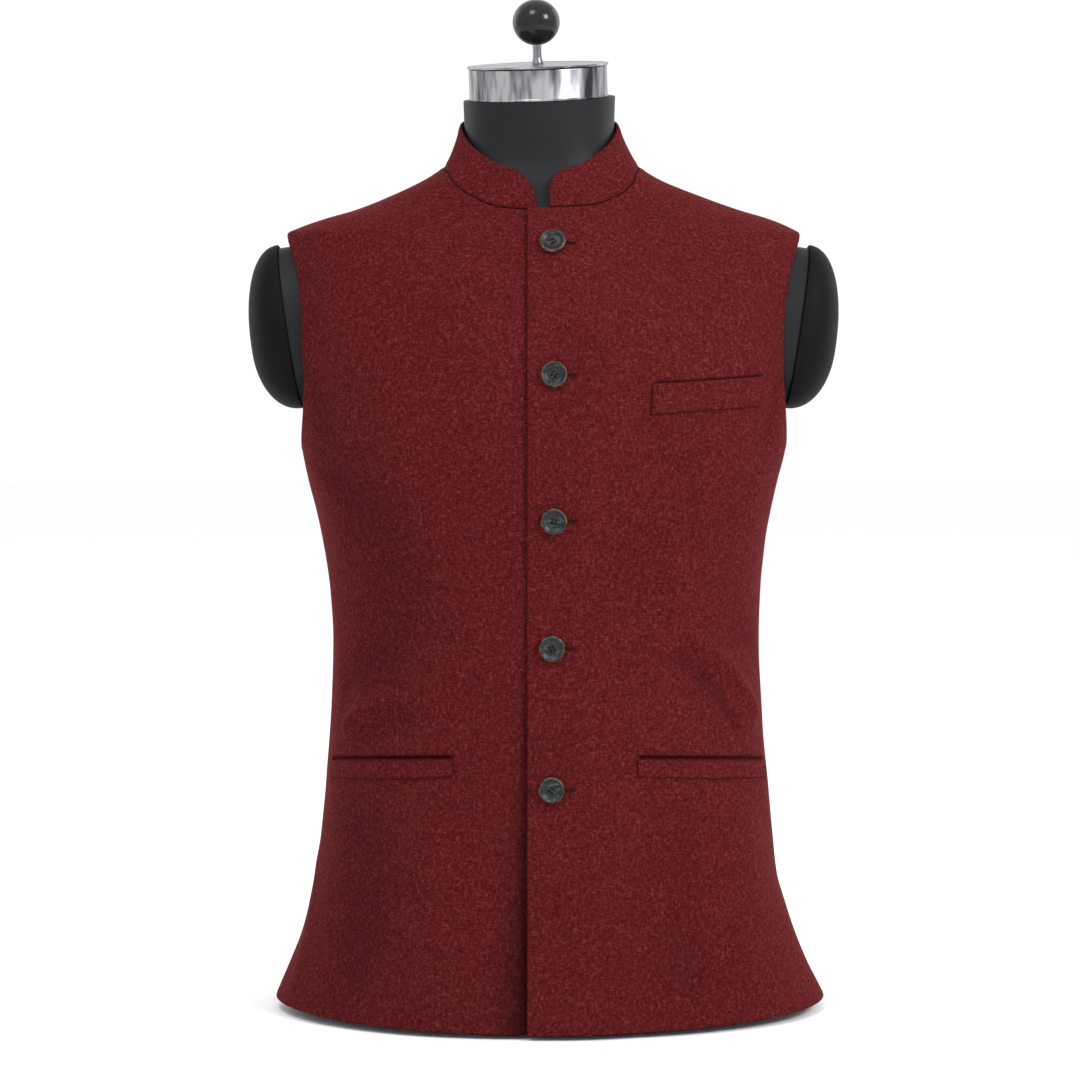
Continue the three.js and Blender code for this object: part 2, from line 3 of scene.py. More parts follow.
import bmesh
import bpy
import numpy as np
from mathutils import Matrix, Vector


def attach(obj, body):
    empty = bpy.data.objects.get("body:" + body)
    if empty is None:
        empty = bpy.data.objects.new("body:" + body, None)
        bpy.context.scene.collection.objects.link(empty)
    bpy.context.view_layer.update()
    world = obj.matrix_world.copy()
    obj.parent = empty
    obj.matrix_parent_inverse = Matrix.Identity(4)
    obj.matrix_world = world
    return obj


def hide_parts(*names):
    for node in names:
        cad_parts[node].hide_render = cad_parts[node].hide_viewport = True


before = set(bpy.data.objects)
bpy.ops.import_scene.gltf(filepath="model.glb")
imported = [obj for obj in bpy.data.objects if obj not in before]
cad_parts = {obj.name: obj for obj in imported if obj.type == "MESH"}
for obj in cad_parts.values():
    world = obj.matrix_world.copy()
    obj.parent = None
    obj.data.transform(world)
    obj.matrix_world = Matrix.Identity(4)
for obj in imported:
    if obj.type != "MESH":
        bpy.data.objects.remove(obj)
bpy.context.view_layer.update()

# Sizes are millimetres until a mesh is made, as in the part's own tables. X runs to the
# wearer's left, -Y is the front, and the wool is laid over the same rings as the CAD.
MM = 0.001
QUARTER = math.pi / 2

# ---- The jacket's and the form's section rings ----------------------------------

COLUMNS = ("z", "minus_x", "plus_x", "front", "back", "mid", "power")
JACKET = (
    (-20, 229, 241, 136, 130, 0, 2.05),
    (8, 220, 231, 134, 127, 0, 2.05),
    (37, 208, 216.5, 132.5, 123.5, 0, 2.07),
    (62, 198.5, 206.5, 131, 120.5, 0, 2.1),
    (87, 192, 198.5, 129.5, 118, 0, 2.13),
    (112, 186.5, 191.5, 128.5, 115.5, 0, 2.16),
    (150, 181.5, 187.5, 127, 111, 0, 2.2),
    (187, 178, 184.5, 126, 107, 0, 2.22),
    (236, 174, 179, 124, 102, 0, 2.25),
    (300, 172, 175, 122.5, 100, 0, 2.28),
    (345, 174, 176.5, 124, 103, 0, 2.3),
    (384, 179, 180.5, 126.5, 108, 0, 2.3),
    (409, 184, 185, 128.5, 112, 0, 2.3),
    (433, 190.5, 190.5, 130, 115.5, 0, 2.3),
    (458, 196, 197, 131, 118.5, 0, 2.3),
    (485, 200, 201, 130, 121, 1, 2.3),
    (520, 205, 205.5, 125.5, 122, 2, 2.3),
    (560, 209, 209, 116.5, 119, 4, 2.3),
    (600, 210.5, 210.5, 101, 110, 5, 2.3),
    (622, 210, 210, 89, 103, 6, 2.3),
    (633, 208, 208, 82, 98, 6, 2.3),
    (638, 198, 200, 78, 96, 6, 2.3),
    (645, 178, 183, 72.5, 92, 6, 2.3),
    (652.5, 152, 158, 67, 88.5, 6, 2.3),
    (664.5, 122, 124.5, 63.5, 82.5, 6, 2.3),
    (676.5, 97, 95, 60.5, 76.5, 6, 2.3),
    (684, 85, 82, 59, 73, 6, 2.3),
    (690, 77, 74, 58, 70, 6, 2.3),
    (700, 70, 66, 57, 65.5, 6, 2.3),
)
FORM = (
    (0, 168, 170, 104, 101, 0, 2.2),
    (60, 172, 174, 109, 106, 0, 2.2),
    (120, 171, 174, 110, 104, 0, 2.2),
    (200, 163, 166, 108, 96, 0, 2.2),
    (290, 157, 159, 106, 90, 0, 2.25),
    (345, 160, 161, 110, 94, 0, 2.3),
    (384, 166, 167, 114, 100, 0, 2.3),
    (433, 179, 179, 120, 108, 0, 2.3),
    (458, 187, 187, 122, 111.5, 0, 2.3),
    (485, 194, 194, 122.5, 114.5, 1, 2.3),
    (520, 200, 200, 119, 116, 2, 2.3),
    (560, 203.5, 203.5, 110.5, 113, 4, 2.3),
    (595, 204.5, 204.5, 97.5, 105, 5, 2.3),
    (615, 203, 203, 86.5, 98.5, 6, 2.3),
    (627, 200, 200, 79, 93, 6, 2.3),
    (632.5, 192, 194, 75, 90.5, 6, 2.3),
    (640.5, 174, 178, 69, 87, 6, 2.3),
    (648, 150, 154, 63.5, 83.5, 6, 2.3),
    (660, 119, 121, 59.5, 77.5, 6, 2.3),
    (671, 96, 93.5, 57, 72, 6, 2.3),
    (680, 80, 75, 54, 67, 5, 2.3),
    (690, 68.5, 60.5, 51.5, 61, 4, 2.25),
    (702, 64.6, 57.4, 52, 58, 2, 2.15),
    (720, 64.4, 57.4, 53, 57.5, 2, 2.1),
    (742.5, 65, 58, 54.5, 58, 2, 2.1),
)

# Neckline seam and the collar's top edge: turn in degrees from the front centre, height.
NECKLINE = (
    (0, 650.5), (11, 651.8), (26, 661.8), (41, 672.5),
    (57, 681.5), (90, 689), (130, 694), (180, 697),
)
COLLAR_TOP = ((0, 681), (25, 685.5), (48, 697.5), (90, 721), (130, 730), (180, 735))

CLOTH = 2.0
SEAM = 0.3
HEM = {"front": 4.0, "side": 9.0, "back": 8.0}
ARMHOLE = {"low": 458.0, "high": 633.0, "front": 56.0, "back": 60.0}
CHEST_SHARE = 0.61
VENT = {"top": 106.0, "half_gap": 3.2}
LAP = {"edge": -12.8, "under": 22.0, "flat_to": 30.0, "fade_to": 75.0, "lift": 3.0}
COLLAR = {
    "x": -3.5, "y": 1.5, "half": 64.3, "front": 61.5, "back": 60.6,
    "wall": 1.8, "corner_left": 17.0, "corner_right": 19.0, "end_low": 4.4, "end_high": 7.0,
    "corner_drop": 1.2, "height": 33.0,
}
BUTTONS = ((6.9, 622), (7.9, 520.5), (7.9, 408), (6.4, 308), (6.1, 197))
BUTTON = {"radius": 10.2, "wall": 4.0, "stand": 1.2, "hole_at": 2.1, "hole_radius": 0.85}
BUTTONHOLE = {"half": 11.0, "gap": 0.95, "shift": 7.2, "cord": 0.5}
CHEST_WELT = {"x_in": 83, "x_out": 171, "z_in": 490, "z_out": 495.5, "height": 23.5}
HIP_WELT = {"x_in": 73.5, "turn_out": 74.5, "z_in": 206, "z_out": 194, "height": 13.5}
CAP = {
    "x": 195, "y": 3, "z": 492, "lean": math.atan2(20, 133),
    "low": 52, "high": 82, "half_depth": 55, "bulge": 34.5,
}
NECK_TOP = {"pitch": 0.12, "roll": 0.033, "z": 742.5, "foot": 702}
BAND = {"radius": 56, "height": 25, "x": -4, "y": 2}
PLATE_WALL = 1.8
STEM_HEIGHT = 15
BALL = {"radius": 19.1, "half_height": 18.0, "neck": 3.9}

# How a cut edge of the cloth is turned in: the round edge, and the ridge that the turning
# makes a little way in.
EDGE = {"radius": 1.1, "most": 0.9, "ridge_at": 4.2, "ridge_width": 2.2, "ridge": 0.28}

# The openings over the welts: height above the welt, upward bow, half width, depth, and the
# strength of the painted shade in the opening.
HIP_SLIT = {"above": 1.7, "bow": 1.2, "width": 1.7, "depth": 2.4, "shade": 0.84}
CHEST_SLIT = {"above": 0.9, "bow": 0.0, "width": 0.95, "depth": 1.0, "shade": 0.8}

# A welt stands off the front, is crowned, and is stitched down near its ends (as shares).
WELT = {"off": 1.7, "wall": 1.9, "crown": 0.35, "stitch": 0.35, "stitch_at": 0.03}

# Beside the lap the under front falls away below a height, and has the lap's shadow painted on it.
# The pairs are the values at the hem and higher up.
UNDER_LAP = {
    "drop": 3.2, "full_below": 20.0, "fade": 330.0,
    "width": (11.0, 6.0), "width_fade": 60.0,
    "shade_width": (21.0, 2.4), "shade_fade": 340.0, "shade": (0.68, 0.3),
}

# Points across and up the panels, with close rows where a pocket's opening crosses them.
COLUMNS_OF = {"front": 92, "back": 76}
ROWS_OF = {"body": 125, "chest": 72, "neck": 34}
CLOSE_ROWS = {"body": (0.444, 0.488, 52), "chest": (0.33, 0.62, 66)}

# Folds laid over the wool. Each is a soft ridge (height above 0) or trough that runs
# from one point to another, in x and z on the front or the back, with its half width.
FOLDS = (
    # side, x0, z0, x1, z1, height, width
    ("front", -188, 525, -170, 462, -3.0, 13),
    ("front", -176, 452, -146, 400, -2.2, 14),
    ("front", -150, 455, -128, 270, -2.6, 27),
    ("front", -62, 610, -54, 340, 1.5, 22),
    ("front", -88, 600, -92, 470, -1.0, 16),
    ("front", -160, 236, -114, 268, 5.2, 6.5),
    ("front", -150, 226, -100, 252, -3.0, 9),
    ("front", -162, 262, -130, 298, -3.2, 11),
    ("front", -150, 190, -162, 20, -3.8, 25),
    ("front", -96, 170, -104, 10, 2.0, 24),
    ("front", -188, 130, -205, 14, 1.6, 12),
    ("front", 112, 316, 171, 244, 4.8, 7),
    ("front", 104, 300, 158, 232, -4.0, 8),
    ("front", 140, 322, 172, 288, -1.6, 9),
    ("front", 2, 236, 8, 218, -1.6, 12),
    ("front", 188, 522, 172, 458, -3.0, 11),
    ("front", 168, 450, 140, 390, -1.8, 14),
    ("front", 150, 186, 176, 12, 2.6, 22),
    ("front", 104, 176, 116, 12, -2.4, 22),
    ("front", 46, 150, 50, 10, 1.2, 18),
    ("front", 60, 300, 96, 250, -1.2, 13),
    ("front", 150, 610, 120, 560, -1.2, 14),
    ("front", -150, 606, -122, 556, -1.2, 14),
    ("back", -176, 505, -120, 420, -2.6, 15),
    ("back", 176, 512, 126, 436, -2.2, 14),
    ("back", -120, 330, -20, 300, -2.4, 11),
    ("back", 128, 322, 36, 292, -2.8, 12),
    ("back", -90, 286, 40, 268, 2.0, 10),
    ("back", 60, 560, 40, 380, 1.4, 26),
    ("back", -58, 570, -36, 370, 1.4, 24),
    ("back", -140, 230, -176, 14, 3.2, 24),
    ("back", -72, 220, -84, 12, -3.0, 26),
    ("back", 4, 210, 0, 10, 2.2, 26),
    ("back", 78, 216, 92, 12, -3.2, 24),
    ("back", 146, 224, 180, 14, 3.0, 22),
)

# Slight waves over all the cloth: height in mm, radians to a mm round and up, and phase.
UNEVEN = (
    (0.45, 0.031, 0.019, 1.3),
    (0.35, -0.047, 0.027, 4.1),
    (0.25, 0.083, 0.051, 0.4),
)

# Lights in metres and watts, and the camera's place, downward tilt and lens.
LIGHTS = (
    # name, place, target, side lengths, power
    ("key", (2.1, -1.7, 2.0), (0, 0, 0.45), (0.8, 0.8), 56),
    ("top", (-0.7, -1.5, 2.6), (0, 0, 0.62), (0.8, 0.8), 22),
    ("rim_left", (-1.7, 1.3, 1.3), (0, 0, 0.45), (0.8, 1.6), 5),
    ("rim_right", (1.7, 1.3, 1.3), (0, 0, 0.45), (0.8, 1.6), 5),
)
SKY_STRENGTH = 1.04
CAMERA = {"place": (-0.0029, -2.6, 0.56), "down": 3.87, "lens": 106.3, "sensor": 36}


def along(table, column, at):
    """One column of a table at many heights, on a monotone cubic through its rows."""
    rows = np.array(table, dtype=float)
    x, y = rows[:, 0], rows[:, column]
    at = np.clip(np.asarray(at, dtype=float), x[0], x[-1])
    step = np.diff(x)
    rise = np.diff(y) / step
    slope = np.empty_like(y)
    slope[0], slope[-1] = rise[0], rise[-1]
    product = rise[:-1] * rise[1:]
    total = np.where(product > 0, rise[:-1] + rise[1:], 1.0)
    slope[1:-1] = np.where(product > 0, 2 * product / total, 0.0)
    i = np.clip(np.searchsorted(x, at, side="right") - 1, 0, len(x) - 2)
    h = step[i]
    t = (at - x[i]) / h
    return (
        (2 * t**3 - 3 * t**2 + 1) * y[i]
        + (t**3 - 2 * t**2 + t) * h * slope[i]
        + (3 * t**2 - 2 * t**3) * y[i + 1]
        + (t**3 - t**2) * h * slope[i + 1]
    )


def column(body, name, z):
    return along(body, COLUMNS.index(name), z)


def smooth_step(t):
    t = np.clip(t, 0, 1)
    return t * t * (3 - 2 * t)


def mix(a, b, t):
    return a + (b - a) * t


def body_point(body, turn, z):
    """A point of a body, in mm: turn 0 is the front centre, a quarter the side at +X."""
    s, c = np.sin(turn), np.cos(turn)
    power = column(body, "power", z)
    reach = (np.abs(s) ** power + np.abs(c) ** power) ** (-1 / power)
    half = np.where(s < 0, column(body, "minus_x", z), column(body, "plus_x", z))
    mid = column(body, "mid", z)
    depth = np.where(c > 0, column(body, "front", z) + mid, column(body, "back", z) - mid)
    return np.stack([half * s * reach, mid - depth * c * reach, z + 0 * s], axis=-1)


def body_normal(body, turn, z):
    across = body_point(body, turn + 0.01, z) - body_point(body, turn - 0.01, z)
    up = body_point(body, turn, z + 1) - body_point(body, turn, z - 1)
    normal = np.cross(across, up)
    return normal / np.linalg.norm(normal, axis=-1, keepdims=True)


def turn_at_x(body, x, z):
    half = column(body, "minus_x" if x < 0 else "plus_x", z)
    share = np.minimum(abs(x) / half, 0.9999)
    power = column(body, "power", z)
    return math.copysign(1, x) * np.arctan2(share, (1 - share**power) ** (1 / power))


def turn_at_depth(body, depth, z, facing):
    mid = column(body, "mid", z)
    full = column(body, facing, z) + (mid if facing == "front" else -mid)
    power = column(body, "power", z)
    share = depth / full
    angle = np.arctan2((1 - share**power) ** (1 / power), share)
    return angle if facing == "front" else math.pi - angle


# ---- Meshes ---------------------------------------------------------------------


def make_object(name, points, faces, material, smooth_angle=40, painted_shade_values=None):
    """A mesh object from points in mm. The optional value per point is painted shade that darkens
    the wool.
    """
    mesh = bpy.data.meshes.new(name)
    mesh.from_pydata((np.asarray(points) * MM).tolist(), [], faces)
    mesh.validate()
    mesh.update()
    mesh.shade_smooth()
    mesh.set_sharp_from_angle(angle=math.radians(smooth_angle))
    if painted_shade_values is not None:
        layer = mesh.attributes.new("painted_shade_and_rim", "FLOAT", "POINT")
        layer.data.foreach_set("value", np.asarray(painted_shade_values, dtype=np.float32).ravel())
    mesh.materials.append(material)
    piece = bpy.data.objects.new(name, mesh)
    bpy.context.scene.collection.objects.link(piece)
    return piece


def wall_faces(rows, columns):
    """Faces of a closed wall: an outer grid, then an inner one, row by row."""
    index = np.arange(2 * rows * columns).reshape(2, rows, columns)
    outer, inner = index

    def quads(a, b, c, d):
        return np.stack([a.ravel(), b.ravel(), c.ravel(), d.ravel()], axis=1).tolist()

    faces = quads(outer[:-1, :-1], outer[:-1, 1:], outer[1:, 1:], outer[1:, :-1])
    faces += quads(inner[:-1, :-1], inner[1:, :-1], inner[1:, 1:], inner[:-1, 1:])
    faces += quads(outer[:-1, 0], outer[1:, 0], inner[1:, 0], inner[:-1, 0])
    faces += quads(outer[:-1, -1], inner[:-1, -1], inner[1:, -1], outer[1:, -1])
    faces += quads(outer[0, :-1], inner[0, :-1], inner[0, 1:], outer[0, 1:])
    faces += quads(outer[-1, :-1], outer[-1, 1:], inner[-1, 1:], inner[-1, :-1])
    return faces


def loft(name, rings, material, smooth_angle=40):
    """A closed loft through rings of the same count, in mm."""
    rings = np.asarray(rings)
    levels, count = rings.shape[:2]
    index = np.arange(levels * count).reshape(levels, count)
    after = np.roll(index, -1, axis=1)
    faces = []
    for low, low_next, high, high_next in zip(index, after, index[1:], after[1:]):
        faces += np.stack([low, low_next, high_next, high], axis=1).tolist()
    faces.append(index[0][::-1].tolist())
    faces.append(index[-1].tolist())
    return make_object(name, rings.reshape(-1, 3), faces, material, smooth_angle)


def lathe(name, profile, segments, place, material, smooth_angle=35):
    """A turned piece: profile points are (radius, height) in mm from axis to axis."""
    angles = np.linspace(0, 2 * math.pi, segments, endpoint=False)
    rings = [
        np.stack([r * np.cos(angles), r * np.sin(angles), 0 * angles + h], axis=1)
        for r, h in profile
        if r > 0
    ]
    piece = loft(name, rings, material, smooth_angle)
    piece.data.transform(place)
    return piece


# ---- Materials ------------------------------------------------------------------


class Nodes:
    """A short way to add and join nodes in one material."""

    def __init__(self, name):
        self.material = bpy.data.materials.new(name)
        self.material.use_nodes = True
        self.tree = self.material.node_tree
        self.shader = self.tree.nodes["Principled BSDF"]

    def add(self, kind, values=None, **links):
        node = self.tree.nodes.new(kind)
        for key, value in (values or {}).items():
            if key in node.inputs:
                node.inputs[key].default_value = value
            else:
                setattr(node, key, value)
        for key, source in links.items():
            self.tree.links.new(source, node.inputs[key.replace("_", " ")])
        return node

    def link(self, source, socket):
        self.tree.links.new(source, socket)

    def set(self, **values):
        for key, value in values.items():
            self.shader.inputs[key.replace("_", " ")].default_value = value

    def place(self, scale=(1, 1, 1), turn=(0, 0, 0)):
        """Object coordinates in metres, scaled and turned."""
        where = self.add("ShaderNodeTexCoord")
        mapping = self.add("ShaderNodeMapping", {"Scale": scale, "Rotation": turn})
        self.link(where.outputs["Object"], mapping.inputs["Vector"])
        return mapping.outputs["Vector"]

    def noise(self, vector, scale, detail=2.0, roughness=0.5):
        node = self.add(
            "ShaderNodeTexNoise",
            {"Scale": scale, "Detail": detail, "Roughness": roughness},
            Vector=vector,
        )
        return node.outputs["Fac"]

    def ramp(self, factor, stops):
        node = self.add("ShaderNodeValToRGB", Fac=factor)
        points = node.color_ramp.elements
        while len(points) < len(stops):
            points.new(0.5)
        for point, (position, color) in zip(points, stops):
            point.position = position
            point.color = (*color, 1)
        return node.outputs["Color"]

    def math(self, operation, a, b):
        node = self.add("ShaderNodeMath", {"operation": operation})
        for socket, value in zip(node.inputs, (a, b)):
            if isinstance(value, (int, float)):
                socket.default_value = value
            else:
                self.link(value, socket)
        return node.outputs[0]

    def mix(self, factor, a, b, blend="MIX"):
        node = self.add("ShaderNodeMix", {"data_type": "RGBA", "blend_type": blend})
        # The colour sockets of this node are inputs 6 and 7 and output 2.
        for socket, value in ((node.inputs[0], factor), (node.inputs[6], a), (node.inputs[7], b)):
            if isinstance(value, (int, float)):
                socket.default_value = value
            elif isinstance(value, tuple):
                socket.default_value = (*value, 1)
            else:
                self.link(value, socket)
        return node.outputs[2]

    def feed(self, name, source):
        self.link(source, self.shader.inputs[name])

    def roughness(self, factor, low, high):
        """Spreads a noise factor, which stays near 0.5, from low to high roughness."""
        node = self.add(
            "ShaderNodeMapRange",
            {"From Min": 0.3, "From Max": 0.7, "To Min": low, "To Max": high},
            Value=factor,
        )
        self.feed("Roughness", node.outputs["Result"])

    def bump(self, height, strength, distance, normal=None):
        values = {"Strength": strength, "Distance": distance}
        node = self.add("ShaderNodeBump", values, Height=height)
        if normal is not None:
            self.link(normal, node.inputs["Normal"])
        return node.outputs["Normal"]


def srgb(r, g, b):
    """A colour given in 0-255 screen values, as linear light."""
    return tuple(
        v / 12.92 if v <= 0.04045 else ((v + 0.055) / 1.055) ** 2.4
        for v in (r / 255, g / 255, b / 255)
    )


def wool_material(name, tone=1.0):
    """Heathered wool flannel: fibres of three dyes, a fulled weave and a soft nap."""
    n = Nodes(name)

    def tinted(r, g, b):
        return srgb(r * tone, g * tone, b * tone)

    # Flecks a couple of millimetres long, lying mostly across and up the cloth.
    across = n.noise(n.place((1.0, 1.0, 2.2)), 330, 3.0, 0.62)
    upright = n.noise(n.place((2.0, 2.0, 0.9), (0.3, 0.2, 0.1)), 300, 3.0, 0.62)
    flecks = n.math("MULTIPLY", n.math("ADD", across, upright), 0.5)
    heather = n.ramp(
        flecks,
        (
            (0.36, tinted(58, 10, 12)),
            (0.46, tinted(76, 16, 18)),
            (0.54, tinted(89, 24, 26)),
            (0.64, tinted(108, 43, 45)),
        ),
    )
    # Cloudy shade over a hand's width, as fulled wool takes the dye unevenly.
    cloud = n.noise(n.place(), 9, 3.0, 0.55)
    clouded = n.mix(
        n.math("MULTIPLY", cloud, 0.5),
        heather,
        n.mix(1.0, heather, (0.72, 0.66, 0.66), "MULTIPLY"),
    )
    # Sparse pale fibres on the surface.
    stray = n.noise(n.place((0.55, 0.55, 3.4), (0.5, 0.9, 0.2)), 520, 1.0, 0.5)
    pale = n.math("MULTIPLY", n.math("GREATER_THAN", stray, 0.69), 0.22)
    with_fibres = n.mix(pale, clouded, tinted(140, 72, 74))
    # Painted shade: a value per point mixes the colour towards a near-black maroon in fold troughs,
    # pocket openings, beside the lap, at the collar's foot, round the welts and on inner faces.
    painted_shade_and_rim = n.add("ShaderNodeAttribute", {"attribute_name": "painted_shade_and_rim"}).outputs["Fac"]
    shaded = n.mix(painted_shade_and_rim, with_fibres, tinted(20, 2, 4))
    n.feed("Base Color", shaded)

    weave = n.add(
        "ShaderNodeTexWave",
        {"wave_type": "BANDS", "bands_direction": "DIAGONAL", "Scale": 260, "Distortion": 3.0,
         "Detail": 2.0, "Detail Scale": 3.0},
        Vector=n.place(),
    ).outputs["Fac"]
    fuzz = n.noise(n.place(), 1500, 2.0, 0.6)
    normal = n.bump(flecks, 0.55, 0.0009)
    normal = n.bump(weave, 0.14, 0.0004, normal)
    n.feed("Normal", n.bump(fuzz, 0.35, 0.0003, normal))
    n.roughness(fuzz, 0.84, 0.98)
    n.set(Specular_IOR_Level=0.06, Sheen_Weight=0.18, Sheen_Roughness=0.35)
    n.set(Sheen_Tint=(*srgb(205, 58, 66), 1))
    return n.material


def shell_material(name, color, roughness, gloss=0.16):
    """Satin moulded shell: faint orange peel and slight variation in tone and gloss."""
    n = Nodes(name)
    broad = n.noise(n.place(), 14, 3.0, 0.6)
    fine = n.noise(n.place(), 420, 2.0, 0.5)
    low, high = (tuple(v * k for v in srgb(*color)) for k in (0.86, 1.14))
    n.feed("Base Color", n.ramp(broad, ((0.35, low), (0.65, high))))
    both = n.math("ADD", n.math("MULTIPLY", broad, 0.7), n.math("MULTIPLY", fine, 0.3))
    n.roughness(both, roughness - 0.06, roughness + 0.08)
    n.feed("Normal", n.bump(fine, 0.06, 0.0004, n.bump(broad, 0.05, 0.002)))
    n.set(Specular_IOR_Level=gloss)
    return n.material


def chrome_material(name, stretch, scale):
    """Polished chrome with fine lines, and grey streaks in its colour stretched along the piece:
    painted reflection.
    """
    n = Nodes(name)
    lines = n.noise(n.place((1, 1, 14)), 160, 2.0, 0.5)
    # Painted reflection: darker and lighter greys in streaks along the piece, which also vary the
    # roughness.
    painted_reflection_streaks = n.noise(n.place(stretch, (0.0, 0.06, 0.0)), scale, 3.0, 0.6)
    greys = (
        (0.36, srgb(54, 56, 61)),
        (0.46, srgb(108, 110, 114)),
        (0.6, srgb(170, 171, 173)),
    )
    n.feed("Base Color", n.ramp(painted_reflection_streaks, greys))
    n.roughness(painted_reflection_streaks, 0.22, 0.36)
    n.feed("Normal", n.bump(lines, 0.06, 0.0004))
    n.set(Metallic=1.0)
    return n.material


def horn_material():
    """Dark horn: blue-black with cloudy grey streaks, and brown at the rim."""
    n = Nodes("dark_horn")
    streaks = n.noise(n.place((1, 1, 2.4), (0.4, 0.2, 0.5)), 170, 4.0, 0.65)
    body = n.ramp(
        streaks,
        (
            (0.38, srgb(8, 10, 12)),
            (0.5, srgb(15, 20, 23)),
            (0.61, srgb(36, 45, 46)),
            (0.74, srgb(92, 100, 92)),
        ),
    )
    rim = n.add("ShaderNodeAttribute", {"attribute_name": "painted_shade_and_rim"}).outputs["Fac"]
    brown = n.ramp(
        n.noise(n.place(), 260, 2.0, 0.5),
        ((0.4, srgb(42, 35, 27)), (0.62, srgb(98, 82, 60))),
    )
    n.feed("Base Color", n.mix(rim, body, brown))
    n.roughness(streaks, 0.3, 0.5)
    n.feed("Normal", n.bump(streaks, 0.12, 0.0004))
    n.set(Specular_IOR_Level=0.3)
    return n.material


def thread_material():
    """Twisted thread, dark maroon."""
    n = Nodes("thread")
    twist = n.add(
        "ShaderNodeTexWave",
        {"bands_direction": "DIAGONAL", "Scale": 900, "Distortion": 1.5},
        Vector=n.place(),
    ).outputs["Fac"]
    n.feed("Base Color", n.ramp(twist, ((0.3, srgb(36, 6, 8)), (0.75, srgb(66, 14, 17)))))
    n.feed("Normal", n.bump(twist, 0.5, 0.0002))
    n.set(Roughness=0.85, Specular_IOR_Level=0.05, Sheen_Weight=0.05)
    return n.material


def floor_material():
    """A plain, almost white floor with a faint speckle."""
    n = Nodes("pale_floor")
    speckle = n.noise(n.place(), 60, 3.0, 0.5)
    pale = ((0.3, srgb(246, 246, 247)), (0.7, srgb(249, 249, 249)))
    n.feed("Base Color", n.ramp(speckle, pale))
    n.set(Roughness=0.9, Specular_IOR_Level=0.1)
    return n.material


WOOL = wool_material("maroon_wool", 0.93)
# The under front's copy is a touch darker: painted shade for the side away from the key light.
WOOL_UNDER_SHADED = wool_material("maroon_wool_under_shaded", 0.92)
SHELL = shell_material("black_shell", (25, 26, 28), 0.52)
CAP_SHELL = shell_material("black_cap", (13, 13, 14), 0.6, 0.07)
KNOB = shell_material("knob_black", (20, 21, 23), 0.2, 0.3)
CHROME = chrome_material("chrome_band_finish", (1, 1, 0.12), 75)
CHROME_TOP = chrome_material("chrome_top_finish", (0.12, 1, 1), 22)
HORN = horn_material()
THREAD = thread_material()

# ---- How the wool lies over the rings --------------------------------------------

AROUND = 150.0  # millimetres of cloth to a radian of turn, for measuring folds


def fold_height(turn, z, facing):
    """Ridges, troughs and a slight unevenness of the cloth, in mm."""
    u = turn * AROUND
    height = np.zeros_like(z)
    for side, x0, z0, x1, z1, rise, width in FOLDS:
        if side != facing:
            continue
        ends = []
        for x, level in ((x0, z0), (x1, z1)):
            at = float(turn_at_x(JACKET, x, level))
            if facing == "back":
                at = math.pi - at
            ends.append((at * AROUND, level))
        (ua, za), (ub, zb) = ends
        length = math.hypot(ub - ua, zb - za)
        du, dz = (ub - ua) / length, (zb - za) / length
        run = (u - ua) * du + (z - za) * dz
        off = (u - ua) * dz - (z - za) * du
        off = off + 0.05 * length * np.sin(math.pi * np.clip(run / length, 0, 1))
        swell = smooth_step((run + width) / (2.5 * width))
        swell *= smooth_step((length + width - run) / (2.5 * width))
        spread = width * (1 + 0.25 * np.sin(0.021 * run + x0))
        height += rise * swell * np.exp(-((off / spread) ** 2))
    uneven = sum(rise * np.sin(a * u + b * z + phase) for rise, a, b, phase in UNEVEN)
    # Over the shoulders the cloth lies close, from 560 mm up.
    loose = 1 - smooth_step((z - 560) / 50)
    return height * mix(0.25, 1, loose) + uneven * mix(0.15, 1, loose)


def lap_lift(x):
    return LAP["lift"] * (1 - smooth_step((x - LAP["flat_to"]) / (LAP["fade_to"] - LAP["flat_to"])))


def neck_z(turn):
    return along(NECKLINE, 1, np.degrees(np.abs(turn)))


def hem_z(turn):
    c = np.cos(turn)
    return mix(HEM["side"], np.where(c > 0, HEM["front"], HEM["back"]), c * c)


def side_gap(z):
    return SEAM / 2 + VENT["half_gap"] * np.clip(1 - z / VENT["top"], 0, 1) ** 1.3


def armhole_edge(t, facing):
    z = mix(ARMHOLE["low"], ARMHOLE["high"], (1 - math.cos(math.pi * t)) / 2)
    depth = max(SEAM / 2, ARMHOLE[facing] * math.sin(math.pi * t))
    return float(turn_at_depth(JACKET, depth, z, facing)), z


def shares(count, edge, extra=()):
    """Even steps from 0 to 1, with close ones at both ends and in the extra spans."""
    base = np.linspace(0, 1, count + 1)
    close = [edge * k for k in (0.12, 0.3, 0.6, 1.0)]
    parts = [base, close, [1 - c for c in close]]
    parts += [np.linspace(a, b, n) for a, b, n in extra]
    merged = np.unique(np.round(np.concatenate(parts), 6))
    keep = [0.0]
    for value in merged[1:-1]:
        if value - keep[-1] > 0.1 * edge and 1 - value > 0.1 * edge:
            keep.append(value)
    return np.array(keep + [1.0])


